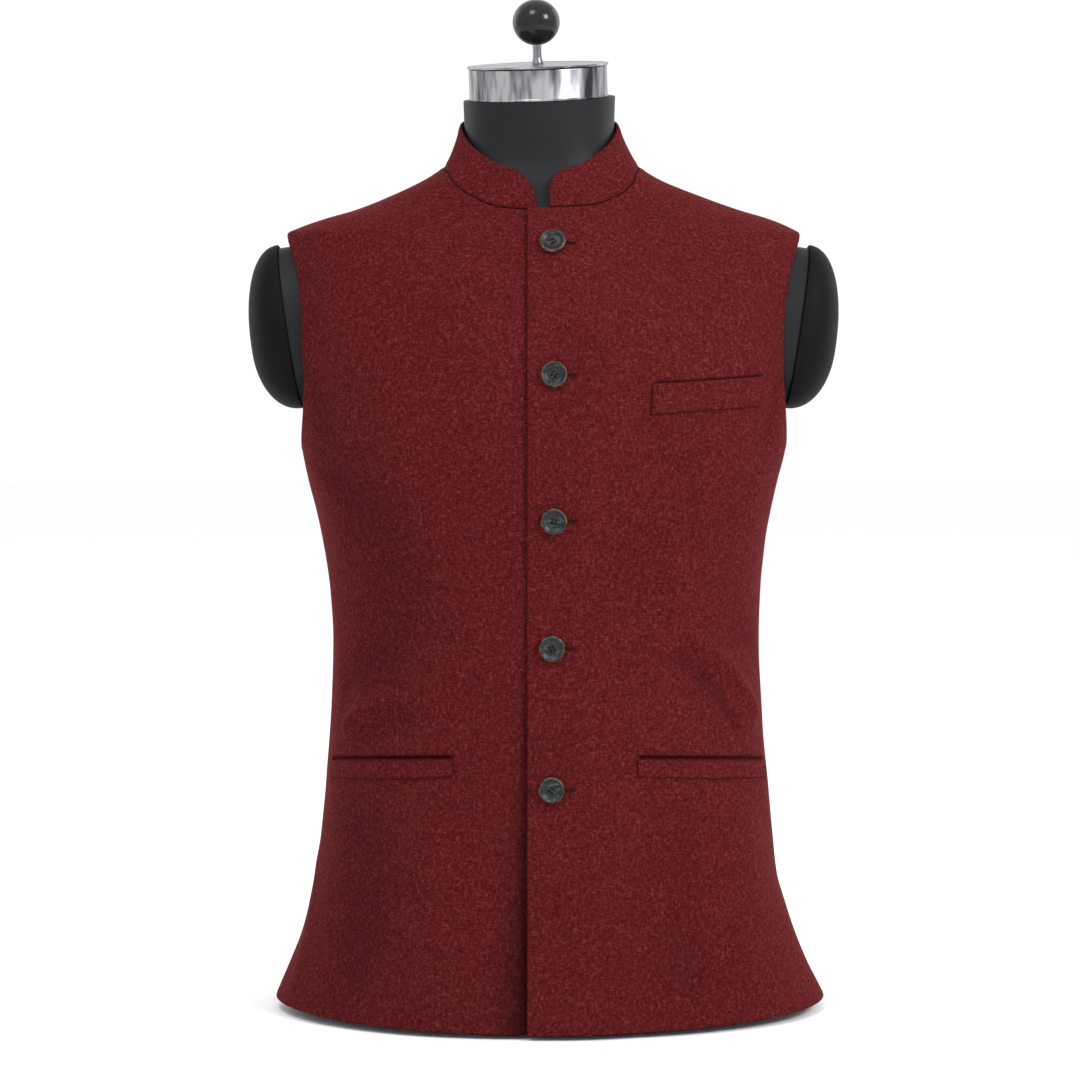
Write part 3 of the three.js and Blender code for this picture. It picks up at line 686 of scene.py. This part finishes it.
def panel_grid(facing, centre_turn, centre_top):
    """Turn and height of every point of a panel, and how many rows end below the neckline."""
    across = shares(COLUMNS_OF[facing], 0.012)
    turns, heights = [], []

    def add_row(start, end, level=None):
        turn = mix(start[0], end[0], across)
        turns.append(turn)
        heights.append(level(turn) if level else mix(start[1], end[1], across))

    for share in shares(ROWS_OF["body"], 0.006, (CLOSE_ROWS["body"],)):
        z = mix(HEM[facing], ARMHOLE["low"], share)
        gap = side_gap(mix(HEM["side"], ARMHOLE["low"], share))
        end = float(turn_at_depth(JACKET, gap, z, facing))
        add_row(
            (float(centre_turn(z)), z), (end, z),
            lambda turn, s=share: mix(hem_z(turn), ARMHOLE["low"], s),
        )
    for share in shares(ROWS_OF["chest"], 0.006, (CLOSE_ROWS["chest"],))[1:]:
        z = mix(ARMHOLE["low"], float(neck_z(centre_top)), share)
        add_row((float(centre_turn(z)), z), armhole_edge(CHEST_SHARE * share, facing))
    below_neck = len(turns)
    seam_turn = float(turn_at_depth(JACKET, SEAM / 2, float(neck_z(QUARTER)), facing))
    for share in shares(ROWS_OF["neck"], 0.012)[1:]:
        turn = mix(centre_top, seam_turn, share)
        add_row((turn, float(neck_z(turn))), armhole_edge(mix(CHEST_SHARE, 1, share), facing))
    return np.array(turns), np.array(heights), below_neck


def edge_roll(points, radius=EDGE["radius"], uncut_rows=0):
    """How far the cloth turns down at its edges, from each point's way to the border.

    The first uncut_rows have no edge at their first column: the cloth goes on there.
    """
    rows, columns = points.shape[:2]
    step_c = np.linalg.norm(np.diff(points, axis=1), axis=-1)
    step_r = np.linalg.norm(np.diff(points, axis=0), axis=-1)
    from_left = np.concatenate([np.zeros((rows, 1)), np.cumsum(step_c, axis=1)], axis=1)
    from_low = np.concatenate([np.zeros((1, columns)), np.cumsum(step_r, axis=0)], axis=0)
    from_right = from_left[:, -1:] - from_left
    from_left[:uncut_rows] = np.inf
    near = np.minimum(
        np.minimum(from_left, from_right), np.minimum(from_low, from_low[-1:] - from_low)
    )
    inside = np.clip(near / radius, 0, 1)
    roll = radius * (1 - np.sqrt(1 - (1 - inside) ** 2))
    ridge = EDGE["ridge"] * np.exp(-(((near - EDGE["ridge_at"]) / EDGE["ridge_width"]) ** 2))
    return ridge - np.clip(roll, 0, EDGE["most"])


def welt_turns(welt):
    """The turn of a welt's inner and outer ends, in radians."""
    inner = float(turn_at_x(JACKET, welt["x_in"], welt["z_in"]))
    if "turn_out" in welt:
        return inner, math.radians(welt["turn_out"])
    return inner, float(turn_at_x(JACKET, welt["x_out"], welt["z_out"]))


def pocket_mouth(turn, z, welt, slit):
    """1 along the slit over a welt and 0 away from it, fading at the slit's ends."""
    start, end = welt_turns(welt)
    share = (turn - start) / (end - start)
    run = share * (end - start) * AROUND
    left = (1 - share) * (end - start) * AROUND
    line = mix(welt["z_in"], welt["z_out"], share) + welt["height"] + slit["above"]
    line = line + slit["bow"] * np.sin(math.pi * np.clip(share, 0, 1))
    ends = smooth_step((run + 1) / 4) * smooth_step((left + 1) / 4)
    return np.exp(-(((z - line) / slit["width"]) ** 2)) * ends


def beside_lap(x, z):
    """How far the under front falls away beside the lap, in mm, and the painted shadow of the lap
    there.
    """
    off = x - LAP["edge"]
    low = 1 - smooth_step((z - UNDER_LAP["full_below"]) / UNDER_LAP["fade"])
    width = mix(*UNDER_LAP["width"], smooth_step(z / UNDER_LAP["width_fade"]))
    spread = mix(*UNDER_LAP["shade_width"], smooth_step(z / UNDER_LAP["shade_fade"]))
    drop = UNDER_LAP["drop"] * low * np.exp(-((off / width) ** 2))
    shade = mix(*UNDER_LAP["shade"], 1 - low) * np.exp(-((off / spread) ** 2))
    return drop, shade


def cloth_layers(turn, z, facing, side, lift, uncut_rows):
    """Outer and inner points of a cloth wall in mm, with the painted shade for each point."""
    at = side * turn
    base = body_point(JACKET, at, z)
    normal = body_normal(JACKET, at, z)
    x = base[..., 0]
    from_front = at if facing == "front" else at % (2 * math.pi)
    rise = fold_height(from_front, z, facing)
    # Troughs get a little painted shade, darker the deeper they are.
    painted_shade_and_rim = np.clip(-0.06 * rise, 0, 0.25)
    slits = []
    if facing == "front":
        slits.append((HIP_WELT, HIP_SLIT))
        if side > 0:
            slits.append((CHEST_WELT, CHEST_SLIT))
    # Each slit is pressed in and painted dark: painted shade in the opening.
    for welt, slit in slits:
        mouth = pocket_mouth(turn, z, welt, slit)
        rise = rise - slit["depth"] * mouth
        painted_shade_and_rim = np.maximum(painted_shade_and_rim, slit["shade"] * mouth)
    # Beside the lap the under front is pressed in and the lap's shadow is painted on it.
    if facing == "front" and side < 0:
        drop, shade = beside_lap(x, z)
        rise = rise - drop
        painted_shade_and_rim = np.maximum(painted_shade_and_rim, shade)
    if lift is not None:
        rise = rise + lift(x)
    outer = base + normal * rise[..., None]
    rolled = outer + normal * edge_roll(outer, uncut_rows=uncut_rows)[..., None]
    inner = outer - normal * CLOTH
    return rolled, inner, painted_shade_and_rim


def panel_object(name, facing, side, centre_turn, lift=None, material=WOOL):
    """A front or half of the back, from its centre edge's turn at each height."""
    top = float(centre_turn(float(neck_z(0)))) if facing == "front" else math.pi
    turn, z, below_neck = panel_grid(facing, centre_turn, top)
    uncut_rows = below_neck if facing == "back" else 0
    outer, inner, painted_shade_and_rim = cloth_layers(turn, z, facing, side, lift, uncut_rows)
    with_turn = turn[0, -1] > turn[0, 0]
    if with_turn != (side > 0):
        outer, inner, painted_shade_and_rim = outer[:, ::-1], inner[:, ::-1], painted_shade_and_rim[:, ::-1]
    rows, count = outer.shape[:2]
    points = np.concatenate([outer.reshape(-1, 3), inner.reshape(-1, 3)])
    # The inner face gets an even painted shade, as it lies in the jacket's shadow.
    painted_shade_values = np.concatenate([painted_shade_and_rim.ravel(), 0.4 + 0 * painted_shade_and_rim.ravel()])
    return make_object(name, points, wall_faces(rows, count), material, 50, painted_shade_values)


front_left = panel_object(
    "left_front", "front", 1, lambda z: turn_at_x(JACKET, LAP["edge"], z), lap_lift
)
front_right = panel_object(
    "right_front", "front", -1, lambda z: -turn_at_x(JACKET, LAP["under"], z),
    material=WOOL_UNDER_SHADED,
)
back_halves = [
    panel_object(f"back_{word}", "back", side, lambda z: math.pi)
    for word, side in (("left", 1), ("right", -1))
]


def join(name, pieces):
    """One object from several: the first keeps its material slots."""
    bpy.ops.object.select_all(action="DESELECT")
    for piece in pieces:
        piece.select_set(True)
    bpy.context.view_layer.objects.active = pieces[0]
    bpy.ops.object.join()
    pieces[0].name = name
    return pieces[0]


def weld_centre(piece):
    """Makes one cloth of two halves: drops the walls on the centre plane and joins there."""
    mesh = bmesh.new()
    mesh.from_mesh(piece.data)
    on_centre = {vertex for vertex in mesh.verts if abs(vertex.co.x) < 0.01 * MM}
    walls = [face for face in mesh.faces if on_centre.issuperset(face.verts)]
    bmesh.ops.delete(mesh, geom=walls, context="FACES_ONLY")
    bmesh.ops.remove_doubles(mesh, verts=list(on_centre), dist=0.05 * MM)
    mesh.to_mesh(piece.data)
    mesh.free()
    piece.data.set_sharp_from_angle(angle=math.radians(50))


back = join("jacket_back", back_halves)
weld_centre(back)

# ---- Collar ---------------------------------------------------------------------


def neckline_points(around):
    """Points of the neckline at angles round the neck, by bisection on the turn."""
    side = np.where(np.sin(around) < 0, -1.0, 1.0)
    wanted = np.arccos(np.cos(around))
    low, high = np.zeros_like(wanted), np.full_like(wanted, math.pi)
    for _ in range(40):
        turn = (low + high) / 2
        p = body_point(JACKET, side * turn, neck_z(turn))
        angle = np.arctan2(np.abs(p[..., 0]), COLLAR["y"] - p[..., 1])
        low = np.where(angle < wanted, turn, low)
        high = np.where(angle < wanted, high, turn)
    return side * low


def collar_surface(around, high):
    """The collar's outer face: around the neck by angle, and up it by a share."""
    turn = neckline_points(around)
    z = neck_z(turn)
    base = body_point(JACKET, turn, z)
    normal = body_normal(JACKET, turn, z)
    near_front = (base[..., 0] > 0) & (base[..., 1] < 0)
    lift = np.where(near_front, lap_lift(base[..., 0]), 0.0) - 0.5
    base = base + normal * lift[..., None]
    base[..., 2] += 0.5
    s, c = np.sin(around), np.cos(around)
    degrees = np.degrees(np.arccos(c))
    top = np.stack(
        [
            COLLAR["x"] + COLLAR["half"] * s,
            COLLAR["y"] - np.where(c > 0, COLLAR["front"], COLLAR["back"]) * c,
            along(COLLAR_TOP, 1, degrees),
        ],
        axis=-1,
    )
    face = mix(base, top, high[..., None])
    # The band is a touch hollow across its height, and waves a little round the neck.
    outward = np.stack([s, -c, 0 * s], axis=-1)
    wave = 0.35 * np.sin(5 * around + 1.0) + 0.25 * np.sin(9 * around + 2.5)
    bend = (wave - 0.9) * np.sin(math.pi * np.clip(high, 0, 1))
    return face + outward * bend[..., None]


def build_collar():
    columns, rows = 260, 22
    share = np.linspace(0, 1, columns + 1)
    share = mix(share, (1 - np.cos(math.pi * share)) / 2, 0.6)
    level = shares(rows, 0.08)
    share, level = np.meshgrid(share, level)

    def at(share, level):
        run = np.minimum(share, 1 - share) * 2 * math.pi * COLLAR["half"]
        corner = np.where(share < 0.5, COLLAR["corner_right"], COLLAR["corner_left"])
        left = np.clip(1 - run / corner, 0, 1)
        drop = COLLAR["corner_drop"] * corner / COLLAR["height"]
        high = level * (1 - drop * (1 - np.sqrt(1 - left * left)))
        end = mix(COLLAR["end_low"], COLLAR["end_high"], high) / COLLAR["half"]
        return collar_surface(-end - share * (2 * math.pi - 2 * end), high)

    d = 1e-3
    face = at(share, level)
    across = at(share + d, level) - at(share - d, level)
    up = at(share, level + d) - at(share, level - d)
    out = np.cross(up, across)
    out /= np.linalg.norm(out, axis=-1, keepdims=True)
    rolled = face + out * edge_roll(face, 0.9)[..., None]
    inner = face - out * COLLAR["wall"]
    rolled, inner = rolled[:, ::-1], inner[:, ::-1]
    n_rows, n_columns = rolled.shape[:2]
    # Painted shade: a dark line along the collar's foot, where it meets the fronts, and an even
    # painted shade on its inner face.
    painted_shade_and_rim = 0.55 * np.exp(-((level[:, ::-1] / 0.045) ** 2))
    points = np.concatenate([rolled.reshape(-1, 3), inner.reshape(-1, 3)])
    painted_shade_values = np.concatenate([painted_shade_and_rim.ravel(), 0.7 + 0 * painted_shade_and_rim.ravel()])
    faces = wall_faces(n_rows, n_columns)
    return make_object("collar_band", points, faces, WOOL, 50, painted_shade_values)


collar = build_collar()

# ---- Pocket welts ---------------------------------------------------------------


def welt_object(name, turns, low, height, lift):
    """A folded welt: a crowned strip with a rounded top edge and stitched ends."""
    across = shares(70, 0.02)
    up = shares(12, 0.12)
    share, level = np.meshgrid(across, up)
    turn = mix(turns[0], turns[1], share)
    z = low(share) + height * level
    x = body_point(JACKET, turn, z)[..., 0]
    rise = fold_height(turn, z, "front") + lift(x) + WELT["off"]
    normal = body_normal(JACKET, turn, z)
    outer = body_point(JACKET, turn, z) + normal * rise[..., None]
    from_end = np.minimum(share, 1 - share)
    stitched = WELT["stitch"] * np.exp(-(((from_end - WELT["stitch_at"]) / 0.006) ** 2))
    crown = WELT["crown"] * np.sin(math.pi * level) - stitched
    rolled = outer + normal * (edge_roll(outer, 0.9) + crown)[..., None]
    inner = outer - normal * WELT["wall"]
    points = np.concatenate([rolled.reshape(-1, 3), inner.reshape(-1, 3)])
    rows, columns = rolled.shape[:2]
    # Painted shade: a dark line round the welt's border, and an even painted shade on its inner
    # face.
    from_border = np.minimum(level * height, from_end * abs(turns[1] - turns[0]) * AROUND)
    painted_shade_and_rim = 0.48 * np.exp(-((from_border / 0.9) ** 2))
    painted_shade_values = np.concatenate([painted_shade_and_rim.ravel(), 0.5 + 0 * level.ravel()])
    return make_object(name, points, wall_faces(rows, columns), WOOL, 50, painted_shade_values)


def build_welts():
    def low(welt):
        return lambda share: mix(welt["z_in"], welt["z_out"], share)

    def low_right(share):
        return low(HIP_WELT)(1 - share)

    def flat(x):
        return 0 * x

    chest, (start, end) = welt_turns(CHEST_WELT), welt_turns(HIP_WELT)
    height = HIP_WELT["height"]
    return (
        welt_object("chest_pocket_welt", chest, low(CHEST_WELT), CHEST_WELT["height"], flat),
        welt_object("left_hip_welt", (start, end), low(HIP_WELT), height, lap_lift),
        welt_object("right_hip_welt", (-end, -start), low_right, height, flat),
    )


chest_welt, hip_welt_left, hip_welt_right = build_welts()

# ---- Buttons, their thread and the buttonholes -----------------------------------


def cloth_frame(x, z, lift):
    """A matrix on the left front at (x, z): Z out of the cloth, X along it, in metres."""
    turn = turn_at_x(JACKET, x, z)
    z = np.asarray(float(z))
    normal = Vector(body_normal(JACKET, turn, z))
    height = LAP["lift"] + lift + float(fold_height(turn, z, "front"))
    where = Vector(body_point(JACKET, turn, z)) + normal * height
    side = Vector((0, 0, 1)).cross(normal).normalized()
    up = normal.cross(side)
    turned = Matrix((side, up, normal)).transposed().to_4x4()
    return Matrix.Translation(where * MM) @ turned


def tube(points, radius, segments=8, closed=False):
    """Points and faces of a round tube along a path, in mm."""
    path = np.asarray(points, dtype=float)
    count = len(path)
    if closed:
        along_path = np.roll(path, -1, axis=0) - np.roll(path, 1, axis=0)
    else:
        along_path = np.gradient(path, axis=0)
    along_path /= np.linalg.norm(along_path, axis=1, keepdims=True)
    guide = np.array([0.0, 0.0, 1.0])
    side = np.cross(along_path, guide)
    weak = np.linalg.norm(side, axis=1) < 1e-3
    side[weak] = (1.0, 0.0, 0.0)
    side /= np.linalg.norm(side, axis=1, keepdims=True)
    up = np.cross(side, along_path)
    angle = np.linspace(0, 2 * math.pi, segments, endpoint=False)
    ring = (
        path[:, None]
        + radius * np.cos(angle)[None, :, None] * side[:, None]
        + radius * np.sin(angle)[None, :, None] * up[:, None]
    )
    index = np.arange(count * segments).reshape(count, segments)
    after = np.roll(index, -1, axis=1)
    faces = []
    for k in range(count if closed else count - 1):
        n = (k + 1) % count
        faces += np.stack([index[k], index[n], after[n], after[k]], axis=1).tolist()
    if not closed:
        faces.append(index[0].tolist())
        faces.append(index[-1][::-1].tolist())
    return ring.reshape(-1, 3), faces


def merged(name, parts, place, material):
    """One object from several (points, faces) pairs, put in place."""
    points, faces, offset = [], [], 0
    for part_points, part_faces in parts:
        points.append(part_points)
        faces += [[i + offset for i in face] for face in part_faces]
        offset += len(part_points)
    piece = make_object(name, np.concatenate(points), faces, material, 60)
    piece.data.transform(place)
    return piece


def build_button(index, x, z):
    """A turned four-hole button: foot, rim, dish, and holes cut right through."""
    radius, thick = BUTTON["radius"], BUTTON["wall"]
    place = cloth_frame(x, z, BUTTON["stand"])
    profile = [
        (0.1, 0.0), (radius * 0.62, 0.0), (radius * 0.9, 0.9), (radius, 1.9),
        (radius, 2.6), (radius - 0.35, 3.4), (radius - 0.85, thick - 0.08),
        (radius - 1.2, thick), (radius - 1.7, thick - 0.2), (radius - 2.6, thick - 0.9),
        (radius - 3.8, thick - 1.75), (radius - 4.9, thick - 2.1), (radius * 0.38, thick - 2.2),
        (0.1, thick - 2.2),
    ]
    button = lathe(f"horn_button_{index}", profile, 72, Matrix.Identity(4), HORN, 60)
    hole_at, hole_radius = BUTTON["hole_at"], BUTTON["hole_radius"]
    cutters = []
    for k in range(4):
        angle = QUARTER * (k + 0.5)
        centre = Matrix.Translation(
            (hole_at * math.cos(angle) * MM, hole_at * math.sin(angle) * MM, -MM)
        )
        cutters.append(
            lathe(f"drill_{k}", [(hole_radius, 0), (hole_radius, 7)], 20, centre, HORN)
        )
    drill = join("drill", cutters)
    cut = button.modifiers.new("holes", "BOOLEAN")
    cut.operation = "DIFFERENCE"
    cut.object = drill
    apply_modifiers(button)
    bpy.data.objects.remove(drill)
    button.data.shade_smooth()
    button.data.set_sharp_from_angle(angle=math.radians(45))
    # On a button the same value is no shade: it marks the rim, which is the horn's own brown.
    layer = button.data.attributes.new("painted_shade_and_rim", "FLOAT", "POINT")
    for vertex, value in zip(button.data.vertices, layer.data):
        r = vertex.co.xy.length / MM
        value.value = float(smooth_step((r - radius + 1.3) / 0.7)) * 0.85
    spin = Matrix.Rotation(0.5 * index, 4, "Z")
    button.data.transform(place @ spin)
    # Thread: two pairs of runs between the holes, and the shank down to the cloth.
    strand, shank_radius = 0.26, 1.9
    runs = []
    reach = hole_at * math.sqrt(0.5)
    t = np.linspace(0, 1, 12)
    arch = thick - 3.1 + 1.5 * np.sin(math.pi * t) ** 0.6
    for at in (-reach, reach):
        for shift in (-0.28, 0.28):
            arc = np.stack([mix(-reach, reach, t), 0 * t + at + shift, arch], axis=1)
            runs.append(tube(arc, strand))
    level = np.linspace(-1.8, 0.6, 4)
    shank = np.stack([0 * level, 0 * level, level], axis=1)
    runs.append(tube(shank, shank_radius, 14))
    thread = merged(f"button_thread_{index}", runs, place @ spin, THREAD)
    return button, thread


def build_buttonhole(index, x, z):
    """A worked buttonhole lying beside its button: a purl of stitches round the slit."""
    half, gap, cord = BUTTONHOLE["half"], BUTTONHOLE["gap"], BUTTONHOLE["cord"]
    place = cloth_frame(x + BUTTONHOLE["shift"], z, 0.15)
    t = np.linspace(0, 2 * math.pi, 96, endpoint=False)
    wobble = 1 + 0.05 * np.sin(26 * t)
    oval = np.stack(
        [
            half * np.sign(np.cos(t)) * np.abs(np.cos(t)) ** 0.8,
            gap * wobble * np.sign(np.sin(t)) * np.abs(np.sin(t)) ** 0.55,
            0.25 + 0.12 * np.abs(np.sin(40 * t)),
        ],
        axis=1,
    )
    level = np.linspace(-1.5, 1.5, 5)
    bar = np.stack([0 * level + half, level, 0 * level + 0.3], axis=1)
    runs = [tube(oval, cord, closed=True), tube(bar, cord)]
    return merged(f"buttonhole_{index}", runs, place, THREAD)


def apply_modifiers(piece):
    """Replaces a piece's mesh with its evaluated one."""
    graph = bpy.context.evaluated_depsgraph_get()
    mesh = bpy.data.meshes.new_from_object(piece.evaluated_get(graph))
    piece.modifiers.clear()
    piece.data = mesh


buttons, threads, holes = [], [], []
for number, (x, z) in enumerate(BUTTONS, 1):
    button, thread = build_button(number, x, z)
    buttons.append(button)
    threads.append(thread)
    holes.append(build_buttonhole(number, x, z))

# ---- Dress form -----------------------------------------------------------------


def cap_ring(out, spread, count=96):
    """The cap's oval outline in its own frame: X out of its base, Z up it."""
    angle = np.linspace(0, 2 * math.pi, count, endpoint=False)
    s, c = np.sin(angle), np.cos(angle)
    reach = (np.abs(s) ** 2.2 + np.abs(c) ** 2.2) ** (-1 / 2.2) * spread
    tall = np.where(c > 0, CAP["high"], CAP["low"])
    return np.stack(
        [0 * s + out, -CAP["half_depth"] * s * reach, CAP["low"] + tall * c * reach], axis=1
    )


def shoulder_matrix(side):
    lean = Matrix.Rotation(CAP["lean"], 4, "Y")
    place = Matrix.Translation(Vector((CAP["x"], 0, CAP["z"])) * MM) @ lean
    if side < 0:
        place = Matrix.Rotation(math.pi, 4, "Z") @ place
    return Matrix.Translation((0, CAP["y"] * MM, 0)) @ place


def build_torso():
    """The form's body and neck, with a flat-faced shoulder stub joined on each side."""
    heights = np.concatenate([
        np.arange(0, 600, 12.0), np.arange(600, 700, 4.0), np.arange(700, 742, 4.0), [742.5],
    ])
    turn = np.linspace(0, 2 * math.pi, 144, endpoint=False)
    rings = []
    for z in heights:
        p = body_point(FORM, turn, np.full_like(turn, z))
        share = smooth_step((z - NECK_TOP["foot"]) / (NECK_TOP["z"] - NECK_TOP["foot"]))
        tilt = NECK_TOP["pitch"] * (p[:, 1] - BAND["y"])
        tilt += NECK_TOP["roll"] * (p[:, 0] - BAND["x"])
        p[:, 2] += share * tilt
        rings.append(p)
    torso = loft("torso_shell", rings, SHELL, 40)
    for side in (-1, 1):
        rings = [cap_ring(out, spread) for out, spread in ((-60, 0.8), (-20, 0.965), (0, 0.965))]
        stub = loft("stub", rings, SHELL)
        stub.data.transform(shoulder_matrix(side))
        # What lies past the cap's base plane is cut away by a box.
        square = np.array([(0, -150, -150), (0, 150, -150), (0, 150, 150), (0, -150, 150)])
        beyond = loft("beyond", [square, square + (100, 0, 0)], SHELL)
        beyond.data.transform(shoulder_matrix(side))
        for operation, tool in (("UNION", stub), ("DIFFERENCE", beyond)):
            step = torso.modifiers.new("step", "BOOLEAN")
            step.operation = operation
            step.object = tool
            apply_modifiers(torso)
            bpy.data.objects.remove(tool)
    torso.data.shade_smooth()
    torso.data.set_sharp_from_angle(angle=math.radians(35))
    return torso


def build_cap(name, side):
    """A moulded dome: a small lip at its base, then a slightly squared quarter round."""
    levels, lip = 26, 0.8
    rings = [cap_ring(SEAM, 0.985), cap_ring(SEAM + lip, 1.0)]
    for r in range(1, levels + 1):
        climb = QUARTER * r / (levels + 0.6)
        out = SEAM + lip + (CAP["bulge"] - lip) * math.sin(climb) ** 0.92
        rings.append(cap_ring(out, math.cos(climb) ** 0.94))
    cap = loft(name, rings, CAP_SHELL, 40)
    cap.data.transform(shoulder_matrix(side))
    return cap


torso = build_torso()
cap_left = build_cap("cap_shell_left", 1)
cap_right = build_cap("cap_shell_right", -1)


def build_fittings():
    """The chromed band with its lips, the plate on it, the stem and the ball."""
    top = Matrix.Translation(
        Vector((BAND["x"], BAND["y"], NECK_TOP["z"] + SEAM)) * MM
    ) @ Matrix.Rotation(math.atan(NECK_TOP["pitch"]), 4, "X")
    top = top @ Matrix.Rotation(-math.atan(NECK_TOP["roll"]), 4, "Y")
    radius, height = BAND["radius"], BAND["height"]

    def up(z):
        return top @ Matrix.Translation((0, 0, z * MM))

    band = lathe(
        "chrome_band",
        [
            (1, 0), (radius + 0.4, 0), (radius + 0.8, 0.3), (radius + 0.8, 1.0),
            (radius + 0.3, 1.4), (radius, 2.0), (radius, height - 1.2),
            (radius - 0.3, height - 0.4), (radius - 0.9, height), (1, height),
        ],
        160, up(0), CHROME,
    )
    plate = lathe(
        "chrome_plate_top",
        [
            (1, 0), (56.9, 0), (57.3, 0.4), (57.4, 0.9), (57.3, 1.4), (56.9, 1.8),
            (54.0, 1.95), (53.4, 1.7), (20, PLATE_WALL), (1, PLATE_WALL),
        ],
        160, up(height + SEAM), CHROME_TOP,
    )
    stem = lathe(
        "chrome_stem",
        [
            (1, 0), (4.7, 0), (4.75, 0.8), (4.6, 2.0), (4.0, 3.2), (3.65, 5.0), (3.5, 7.5),
            (3.5, 11), (3.7, 13.2), (3.7, STEM_HEIGHT), (1, STEM_HEIGHT),
        ],
        48, up(height + PLATE_WALL + 2 * SEAM), CHROME,
    )
    # The ball starts as a flat as wide as the stem's head, and closes at its top.
    flat = math.asin(BALL["neck"] / BALL["radius"])
    profile = [(1, 0.0)]
    for k in range(41):
        angle = mix(flat, math.pi - 0.02, k / 40)
        level = BALL["half_height"] * (1 - math.cos(angle) / math.cos(flat))
        profile.append((BALL["radius"] * math.sin(angle), level))
    ball = lathe("knob", profile, 72, up(height + PLATE_WALL + STEM_HEIGHT + 3 * SEAM), KNOB)
    return band, plate, stem, ball


band, plate, stem, ball = build_fittings()

# ---- What each piece is ----------------------------------------------------------

WEARS = (
    (front_left, "front_left", "wool"),
    (front_right, "front_right", "wool"),
    (back, "back", "wool"),
    (collar, "collar", "wool"),
    (chest_welt, "chest_welt", "wool"),
    (hip_welt_left, "hip_welt_left", "wool"),
    (hip_welt_right, "hip_welt_right", "wool"),
    (torso, "form_torso", "black_shell"),
    (cap_left, "form_cap_left", "black_shell"),
    (cap_right, "form_cap_right", "black_shell"),
    (band, "neck_band", "chrome"),
    (plate, "neck_plate", "chrome"),
    (stem, "knob_stem", "chrome"),
    (ball, "knob_ball", "knob_black"),
)
for piece, node, slot in WEARS:
    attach(piece, "root")
    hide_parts(node)
for number, button in enumerate(buttons, 1):
    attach(button, "root")
    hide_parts(f"button_{number}")
for piece in threads + holes:
    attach(piece, "root")

# ---- Floor, lights and camera ----------------------------------------------------


def build_stage():
    radius, count = 9000, 96
    angle = np.linspace(0, 2 * math.pi, count, endpoint=False)
    ring = np.stack([radius * np.cos(angle), radius * np.sin(angle), 0 * angle], axis=1)
    floor = make_object("floor", ring, [list(range(count))], floor_material())


def add_area(name, place, target, size, power):
    data = bpy.data.lights.new(name, "AREA")
    data.shape = "RECTANGLE"
    data.size, data.size_y = size
    data.energy = power
    light = bpy.data.objects.new(name, data)
    light.location = place
    light.rotation_euler = (Vector(target) - Vector(place)).to_track_quat("-Z", "Y").to_euler()
    bpy.context.scene.collection.objects.link(light)


def build_light():
    world = bpy.data.worlds.new("studio")
    world.use_nodes = True
    sky = world.node_tree.nodes["Background"]
    sky.inputs["Color"].default_value = (1, 1, 1, 1)
    sky.inputs["Strength"].default_value = SKY_STRENGTH
    bpy.context.scene.world = world
    for light in LIGHTS:
        add_area(*light)


def build_camera():
    data = bpy.data.cameras.new("camera")
    data.lens = CAMERA["lens"]
    data.sensor_width = CAMERA["sensor"]
    camera = bpy.data.objects.new("camera", data)
    camera.location = CAMERA["place"]
    camera.rotation_euler = (math.radians(90 - CAMERA["down"]), 0, 0)
    bpy.context.scene.collection.objects.link(camera)
    bpy.context.scene.camera = camera


build_stage()
build_light()
build_camera()
bpy.context.scene.view_settings.view_transform = "Standard"

bpy.context.view_layer.update()
